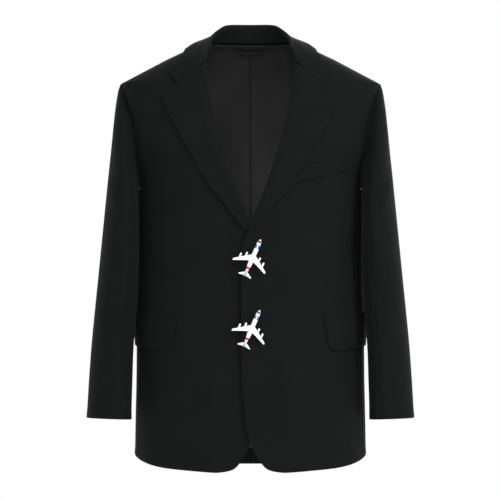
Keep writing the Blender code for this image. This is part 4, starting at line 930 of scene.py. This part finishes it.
def lapel(side):
    """Lapel rolled over the edge of its front."""
    last, low_edge, narrowing, edge_lift = LAPEL_ENDS[side]
    shares = np.concatenate([np.linspace(0, 0.85, 60), np.linspace(0.86, 1.0, 18)])
    starts = smooth_along(ROLL[side] + [last], shares)
    ends = smooth_along(LAPEL_EDGE + low_edge, shares)
    taper = 1 - narrowing * ease(shares, 0.88, 1.0)
    half = APPLIED / 2
    outer, inner = [], []
    for start, end, small, rise in zip(starts, ends, taper, ease(shares, 0.0, 0.09)):
        width = np.linalg.norm(end - start)
        heading = (end - start) / width
        radius = ROLL_RADIUS * small
        level = -radius + STAND_OFF + half
        far, near = radius + half, radius - half
        pairs = [((s * small, level - far), (s * small, level - near)) for s in (0.012, 0.0095, 0.0075)]
        for a in np.radians(np.linspace(-90, -270, 13)):
            pairs.append(((far + far * math.cos(a), level + far * math.sin(a)),
                          (far + near * math.cos(a), level + near * math.sin(a))))
        base = 2 * radius * ROLL_SHARE
        for share in np.concatenate([np.linspace(0.06, 0.9, 22), [0.93, 0.955, 0.975, 0.99, 1.0]]):
            s = base + (width - base) * share
            face = STAND_OFF + BULGE * small * rise * math.exp(-((share - BULGE_AT) / BULGE_AT)**2)
            pairs.append(((s, face + APPLIED), (s, face)))
        pairs = np.array(pairs)
        places = start + heading * pairs[:, :, :1]
        x, z = places[..., 0], places[..., 1]
        drop = sink(x, z) if side < 0 else 0.0
        section = raised(*placed(front_angle(x, z), z), pairs[..., 1] - drop)
        outer.append(section[:, 0])
        inner.append(section[:, 1])
    outer, inner = np.array(outer), np.array(inner)
    out = unit(outer - inner)
    along = edge_lift * ease(shares, 0.02, 0.12) + 0.0005 * np.sin(np.linspace(0, 9, len(shares)))
    soft = along[:, None] * np.linspace(0, 1, outer.shape[1])**2
    outer = raised(outer, out, soft - stitching(outer, ["last_col"], *STITCH))
    inner = raised(inner, out, np.maximum(soft, 0.0))
    word = WORDS[side]
    cloth("lapel_cloth_" + word, pull(outer, ["first_row"]), pull(inner, ["first_row"]), WOOL,
          "lapel_" + word, side)


def collar_front_end():
    """Inner and outer points of the collar's front end, along the gorge and up to the collar's tip."""
    gorge, tip = np.array(ROLL_TOP[0]), np.array(LAPEL_TIP)
    width = math.dist(gorge, tip)
    base = 2 * ROLL_RADIUS * ROLL_SHARE
    shares = [(base + (width - base) * share) / width for share in (0.22, 0.42, 0.613)]
    places = [gorge * (1 - s) + tip * s for s in shares]
    places += [(np.array(NOTCH) + np.array(COLLAR_TIP)) / 2, np.array(COLLAR_TIP)]
    found = []
    for x, z in places:
        point, out = placed(front_angle(x, z), z)
        low = point + out * LEAF_LEVEL
        found.append((low, low + out * APPLIED))
    return found


def collar_sections():
    """Outer and inner sections of the collar, from the wearer's right end round to the left."""
    spots = []
    for kind, where, z, height, edge, edge_z in COLLAR:
        angle = float(front_angle(where, z)) if kind == "front" else math.radians(where)
        leaf = float(front_angle(edge, edge_z)) if kind == "front" else math.radians(edge)
        spots.append((torso(angle, z), torso_out(angle, z), height, leaf, edge_z))
    gorge = ROLL_TOP[0]
    ahead = (gorge[0] + 0.012, gorge[1] - 0.0087)
    gorge_run = unit(torso(front_angle(*ahead), ahead[1]) - torso(front_angle(*gorge), gorge[1]))
    last = len(spots) - 1
    half = APPLIED / 2
    outer, inner = [], []
    for k, (neck, out, height, leaf, edge_z) in enumerate(spots):
        down, depth, swell, lean_in = COLLAR_FOOT[k]
        tangent = unit(spots[min(k + 1, last)][0] - spots[max(k - 1, 0)][0])
        if k == last:
            tangent = np.array([-1.0, 0, 0])
        radial = unit(neck * np.array([1, 1, 0]))
        share_out = ease(k, 1.0, 5.0)
        outward = out * (1 - share_out) + radial * share_out
        outward = unit(outward - tangent * (outward @ tangent))
        upward = unit(np.cross(outward, tangent))
        if upward @ np.array([-0.4 if k < 3 else 0.0, 0, 1]) < 0:
            upward = -upward
        blend = ease(k, 0.0, 3.0)
        upward = upward * blend - gorge_run * (1 - blend)
        upward = unit(upward - outward * (upward @ outward))
        radius = ROLL_RADIUS + (COLLAR_RADIUS - ROLL_RADIUS) * blend
        level = -radius + STAND_OFF + half if k == 0 else -0.0006
        foot = neck - upward * down + outward * depth
        apex = neck + upward * (height - radius - half)
        apex = apex + outward * (level * (1 - blend) - STAND_IN * blend - lean_in)
        lean = unit(apex - outward * radius - foot)
        across = unit(outward - lean * (outward @ lean)) * half
        pairs = []
        for share in (0.0, 0.5):
            centre = foot * (1 - share) + (apex - outward * radius) * share
            pairs.append((centre + across, centre - across))
        for turn in (180, 135, 90, 45, 0):
            a = math.radians(turn)
            ray = outward * math.cos(a) + upward * math.sin(a)
            pairs.append((apex + ray * (radius - half), apex + ray * (radius + half)))
        if k == 0:
            pairs += collar_front_end()
        else:
            leaf_low, leaf_out = placed(leaf, edge_z)
            leaf_low = leaf_low + leaf_out * LEAF_LEVEL
            fold = pairs[-1][0]
            for share in (0.2, 0.4, 0.62, 0.81, 1.0):
                normal = unit(leaf_out * share + outward * (1 - share))
                low = fold * (1 - share) + leaf_low * share + normal * swell * math.sin(math.pi * share)
                if k < 4 and share < 1.0:
                    face, face_out = placed(front_angle(low[0], low[2]), low[2])
                    short = STAND_OFF + 0.001 - (low - face) @ face_out
                    low = low + face_out * max(0.0, float(short))
                pairs.append((low, low + normal * APPLIED))
        inner.append([pair[0] for pair in pairs])
        outer.append([pair[1] for pair in pairs])
    return [np.concatenate([np.array(grid) * MIRROR, np.array(grid)[::-1][1:]]) for grid in (outer, inner)]


def between(corners, u, v):
    """Value inside four corner values: first and last at the start of v, then at its end."""
    a, b, c, d = corners
    return (a + (b - a) * u) * (1 - v) + (c + (d - c) * u) * v


def strip(tops, bottoms, cols, rows, rounding=0.0):
    """Points and outward directions of a strip on the hip between a top and a bottom line."""
    lines = (tops, bottoms)
    angles = [value for (x, z), (end, _) in lines
              for value in (float(front_angle(x, z)), math.radians(end))]
    u, v = np.linspace(0, 1, cols)[None, :], np.linspace(0, 1, rows)[:, None]
    z = between([z for line in lines for _, z in line], u, v)
    z = z + rounding * v * (np.maximum(0.0, 1 - u / 0.1)**2 + np.maximum(0.0, 1 - (1 - u) / 0.1)**2)
    return placed(between(angles, u, v), z)


def pocket(side):
    """Flap and jet of a hip pocket."""
    word = WORDS[side]
    cols, rows = 66, 26
    sides = ["first_col", "last_col", "last_row"]
    points, outs = strip(FLAP_TOP, FLAP_BOTTOM, cols, rows, FLAP_ROUNDING)
    lift = LAID_GAP + edge_swell(points, sides, 0.0005, 0.004) - stitching(points, sides, *FLAP_STITCH)
    lift = lift + FLAP_CROWN * np.sin(np.linspace(0, math.pi, rows))[:, None] * np.linspace(0.4, 1, cols)
    cloth("flap_cloth_" + word, raised(points, outs, lift + APPLIED), raised(points, outs, LAID_GAP), WOOL,
          "pocket_flap_" + word, side)
    rows = 9
    low = [(a, h + 0.0006) for a, h in FLAP_TOP]
    points, outs = strip([(a, h + JET_HEIGHT) for a, h in low], low, cols, rows)
    crown = JET_CROWN * np.sin(np.linspace(0, math.pi, rows))[:, None] * np.ones(cols)
    cloth("jet_cloth_" + word, raised(points, outs, LAID_GAP + JET_THICK + crown),
          raised(points, outs, LAID_GAP), WOOL, "pocket_jet_" + word, side)


def ring_part(grid, places, first, last):
    """Columns of a closed ring between two places round it."""
    if last < first:
        picks = np.concatenate([np.where(places >= first)[0], np.where(places <= last)[0]])
    else:
        picks = np.where((places >= first) & (places <= last))[0]
    return grid[:, picks]


def sleeve(side):
    """Upper and under sleeve with their creases."""
    word = WORDS[side]
    later, sooner, share = (0.0, 0.0, 1.0) if side > 0 else (0.013, -0.009, 0.88)
    around, down = SLEEVE_SPANS
    table = [(u0 * around, (v0 + later) * down, u1 * around, (v1 + sooner) * down, wide, high * share)
             for u0, v0, u1, v1, wide, high in SLEEVE_CREASES]
    u, v = (RING_PLACES / RING_COUNT)[None, :], (RING_ROWS / RING_ROWS[-1])[:, None]
    wobble = creases(u * around, v * down, table)
    wobble = wobble * ease(v, 0.03, 0.1) * ease(np.abs(u - 0.458), 0.08, 0.17)
    seams = ["first_col", "last_col"]
    for title, first, last, lap in (("upper_sleeve_", UPPER_FIRST, UPPER_LAST, 1),
                                    ("under_sleeve_", UPPER_LAST, UPPER_FIRST, -1)):
        outer, inner, out, extra = (ring_part(grid, RING_PLACES, first, last)
                                    for grid in (SLEEVE_OUT, SLEEVE_IN, SLEEVE_NORMALS, wobble))
        below = ease(border_distance(outer, "first_row"), 0.0, 0.01)
        extra = extra - seam_dip(outer, seams, SLEEVE_SEAM_DIP) * below
        extra = extra + edge_swell(outer, ["last_row"], 0.0005, 0.012)
        outer, inner = pull(raised(outer, out, extra), seams), pull(raised(inner, out, extra), seams)
        cloth(title + "cloth_" + word, outer, inner, WOOL, title + word, side, dict.fromkeys(seams, lap))


# places round the sleeve, closer together at its seams, and its rows, closer together at the armhole
SEAM_PLACES = [place + step for place in (UPPER_FIRST, UPPER_LAST)
               for step in (-0.2, -0.11, -0.05, 0.05, 0.11, 0.2)]
RING_PLACES = np.linspace(0, RING_COUNT - 1 / 4, RING_COUNT * 4)
RING_PLACES = np.array(sorted(set(np.round(np.concatenate([RING_PLACES, SEAM_PLACES]), 5))))
coarse_rings, first_inside = sleeve_rings(RING_PLACES)
RING_ROWS = np.linspace(0, len(coarse_rings) - 1, (len(coarse_rings) - 1) * 9 + 1)
RING_ROWS = np.sort(np.concatenate([RING_ROWS, [0.04, 0.07, 0.16]]))
SLEEVE_OUT = resample(coarse_rings, RING_ROWS)
SLEEVE_IN, SLEEVE_NORMALS = shell_inside(SLEEVE_OUT, first_inside)

for side in WORDS:
    for make in (front_cloth, side_cloth, back_cloth):
        make(side)
for side in WORDS:
    for make in (sleeve, lapel, pocket):
        make(side)

# collar
sections_out, sections_in = collar_sections()
rows = np.linspace(0, len(sections_out) - 1, (len(sections_out) - 1) * 8 + 1)
cols = np.sort(np.concatenate([np.linspace(0, 11, 56), [10.92, 10.96]]))
outer, inner = (resample(resample(grid, rows, 0), cols, 1) for grid in (sections_out, sections_in))
outer = raised(outer, unit(outer - inner), -stitching(outer, ["last_col"], *STITCH))
ends = dict.fromkeys(["first_row", "last_row"], np.where(cols < 9.0, 1, 0))
cloth("collar_cloth", pull(outer, ends), pull(inner, ends), WOOL, "collar", 1, ends)

# breast welt
low_left, high_left, high_right, low_right = (np.array(p) for p in WELT)
places = between((low_left, low_right, high_left, high_right),
                 np.linspace(0, 1, 61)[None, :, None], np.linspace(0, 1, 19)[:, None, None])
x, z = places[..., 0], places[..., 1]
points, outs = placed(front_angle(x, z), z)
lift = edge_swell(points, ["first_col", "last_col", "last_row", "first_row"], 0.0004, 0.0035)
lift = lift - stitching(points, ["first_col", "last_col"], *WELT_STITCH)
cloth("welt_cloth", raised(points, outs, lift + WELT_LEVELS[0]), raised(points, outs, WELT_LEVELS[1]), WOOL,
      "breast_welt")

# hanger loop
shares = np.linspace(0, 1, 61)
line = smooth_along(LOOP, shares)
far, near = [], []
for drop in np.linspace(-LOOP_HALF, LOOP_HALF, 9):
    x, z = line[:, 0], line[:, 1] + drop
    power = look(LOOK_POWER, z)
    back = look(LOOK_BACK, z) * (1 - (np.abs(x) / look(LOOK_WIDTH, z))**power)**(1 / power)
    points, outs = placed(np.arctan2(-back, x), z)
    inwards = LOOP_INSIDE + LOOP_BOW * np.sin(np.pi * shares)
    crown = LOOP_CROWN * math.cos(drop / LOOP_HALF * math.pi / 2)
    far.append(raised(points, outs, -inwards))
    near.append(raised(points, outs, -inwards - LOOP_THICK - crown))
cloth("loop_cloth", np.array(near), np.array(far), TAPE, "hanger_loop")


def layered(layers):
    """Vertices and faces of a closed body through rings of the same number of points."""
    count, last = len(layers[0]), (len(layers) - 1) * len(layers[0])
    faces = [(i + k, i + (k + 1) % count, i + count + (k + 1) % count, i + count + k)
             for i in range(0, last, count) for k in range(count)]
    return np.concatenate(layers), faces + [tuple(reversed(range(count))), tuple(range(last, last + count))]


def turned(rings, count):
    """Round body along X from (distance, radius) rings."""
    a = 2 * math.pi * np.arange(count) / count
    return layered([np.stack([np.full(count, x), radius * np.cos(a), radius * np.sin(a)], axis=1)
                    for x, radius in rings])


def blade(outline, middle, thick, upright=False):
    """Wing or fin: a closed plate with rounded edges, thickest along its middle."""
    outline = np.array(outline)
    direction = unit(outline.mean(0) - outline)
    layers = []
    for inset, share in BLADE_EDGE:
        flat = outline + direction * inset
        columns = [flat[:, 0], np.full(len(outline), middle + thick / 2 * share), flat[:, 1]]
        if upright:
            columns = [columns[0], columns[2], columns[1]]
        layers.append(np.stack(columns, axis=1))
    return layered(layers)


def plane_marks(c):
    """Finish of a fuselage face by its centre: white, blue and red bands and a dark cockpit."""
    half = FUSELAGE_LENGTH / 2
    if -half * 0.60 < c[0] < -half * 0.47:
        return 2
    if half * 0.50 < c[0] < half * 0.69 and abs(c[2]) > 0.0012:
        return 1
    if half * 0.80 < c[0] < half * 0.93 and c[1] < -0.0008 and abs(c[2]) < 0.0022:
        return 3
    return 0


def plane_parts():
    """Bodies of a toy jet aeroplane with a place to stand and a finish number or a chooser of it."""
    half, r, span = FUSELAGE_LENGTH / 2, FUSELAGE_RADIUS, WING_SPAN / 2
    parts = [(turned([(half * s, radius) for s, radius in FUSELAGE], 32), (0, 0, 0), plane_marks)]
    for sign in (1, -1):
        wing = [(0.008, 0.0), (0.0035, 0.007), (-0.014, span * 0.97), (-0.0155, span), (-0.0176, span),
                (-0.0182, span * 0.97), (-0.0092, 0.011), (-0.006, 0.0)]
        tail = [(-0.027, 0.0), (-0.0345, 0.0118), (-0.0355, 0.0125), (-0.037, 0.0125), (-0.0352, 0.0)]
        for outline, middle, thick in ((wing, 0.0015, 0.0018), (tail, -0.0002, 0.0015)):
            outline = [(x, sign * y) for x, y in outline][::sign]
            parts.append((blade(outline, middle, thick), (0, 0, 0), 0))
    fin = [(-0.024, -0.001), (-0.0335, -0.0115), (-0.0345, -0.012), (-0.0373, -0.012), (-0.0352, -0.001)]
    parts.append((blade(fin, 0.0, 0.0014, True), (0, 0, 0), lambda c: 1 if c[1] < -0.006 else 0))
    # engines: the intake face at the back of each one's recess takes the dark enamel, painted shade
    for place, forward in ((0.0132, 0.0012), (0.0228, -0.0048)):
        for sign in (-1, 1):
            parts.append((turned(ENGINE, 16), (forward, 0.003, sign * place),
                          lambda c, f=forward: 3 if 0.0041 < c[0] - f < 0.0043 else 0))
    low, off = (r - 0.0001) * math.cos(WINDOW_TURN), (r - 0.0001) * math.sin(WINDOW_TURN)
    for k in range(9):
        for sign in (-1, 1):
            points, polys = turned(WINDOW, 8)
            place = (half * (0.42 - 0.085 * k), -low, sign * off)
            parts.append(((points * np.array([1.0, 0.7, 0.7]), polys), place, 3))
    points, polys = turned(SHANK, 14)
    parts.append(((points[:, [1, 0, 2]], polys), (0, 0.0075, 0), 0))
    return parts


def plane(name, x, z, node):
    """Toy jet aeroplane button with windows and plain coloured bands."""
    verts, faces, kinds = [], [], []
    for (points, polys), place, kind in plane_parts():
        points = points + np.array(place)
        shift = sum(len(v) for v in verts)
        verts.append(points)
        for poly in polys:
            faces.append(tuple(i + shift for i in poly))
            kinds.append(kind(points[list(poly)].mean(0)) if callable(kind) else kind)
    co = np.concatenate(verts)
    tilt = math.radians(90.0 - BUTTON_TILT)
    face_y = float(torso(front_angle(x, z), z)[1])
    along, away, up = co.T
    co = np.stack([x + along * math.cos(tilt) - up * math.sin(tilt), away + face_y - BUTTON_STAND,
                   z + along * math.sin(tilt) + up * math.cos(tilt)], axis=1)
    mesh = smooth_mesh(name, co, faces)
    for made in PLANE_FINISHES:
        mesh.materials.append(made)
    mesh.polygons.foreach_set("material_index", kinds)
    item = add_object(name, mesh)
    soft = item.modifiers.new("soft_edges", "BEVEL")
    soft.width = 0.00025
    soft.segments = 2
    soft.limit_method = "ANGLE"
    soft.angle_limit = math.radians(50)
    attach(item, "root")
    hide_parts(node)


for (node, x, z), title in zip(BUTTONS, ("plane_upper", "plane_lower")):
    plane(title, x, z, node)

# floor, light and camera
corners = [(x * FLOOR_HALF, y * FLOOR_HALF, FLOOR_Z) for x, y in ((-1, -1), (1, -1), (1, 1), (-1, 1))]
floor_mesh = bpy.data.meshes.new("floor")
floor_mesh.from_pydata(corners, [], [(0, 1, 2, 3)])
floor = add_object("floor", floor_mesh)
pale, tree, shader = material("floor_white", 0.9, 0.1)
set_inputs(tree, shader, {"Base Color": (0.85, 0.85, 0.85, 1)})
floor_mesh.materials.append(pale)

scene = bpy.context.scene
scene.world = bpy.data.worlds.new("studio")
scene.world.use_nodes = True
tree = scene.world.node_tree
set_inputs(tree, tree.nodes["Background"], {"Color": (1, 1, 1, 1), "Strength": 1.0})
scene.view_settings.view_transform = "Standard"
scene.view_settings.look = "None"


def lamp(name, place, target, size, power):
    """Soft square light aimed at a point."""
    data = bpy.data.lights.new(name, "AREA")
    data.size = size
    data.energy = power
    item = add_object(name, data)
    item.location = place
    item.rotation_euler = (Vector(target) - Vector(place)).to_track_quat("-Z", "Y").to_euler()


lamp("key", (2.8, -2.6, 2.3), (0.10, 0, 0.05), 1.0, 115)
lamp("front", (-0.3, -4.0, 1.0), (0, 0, 0.0), 1.6, 45)
lamp("back", (0.8, 3.2, 1.0), (0, 0, -0.35), 1.5, 55)

camera_data = bpy.data.cameras.new("front_view")
camera_data.sensor_width = 36
camera_data.lens = 36 * CAMERA_AWAY / VIEW_WIDTH
camera = add_object("front_view", camera_data)
camera.location = (VIEW_CENTRE[0], -CAMERA_AWAY, VIEW_CENTRE[1])
camera.rotation_euler = (math.pi / 2, 0, 0)
scene.camera = camera
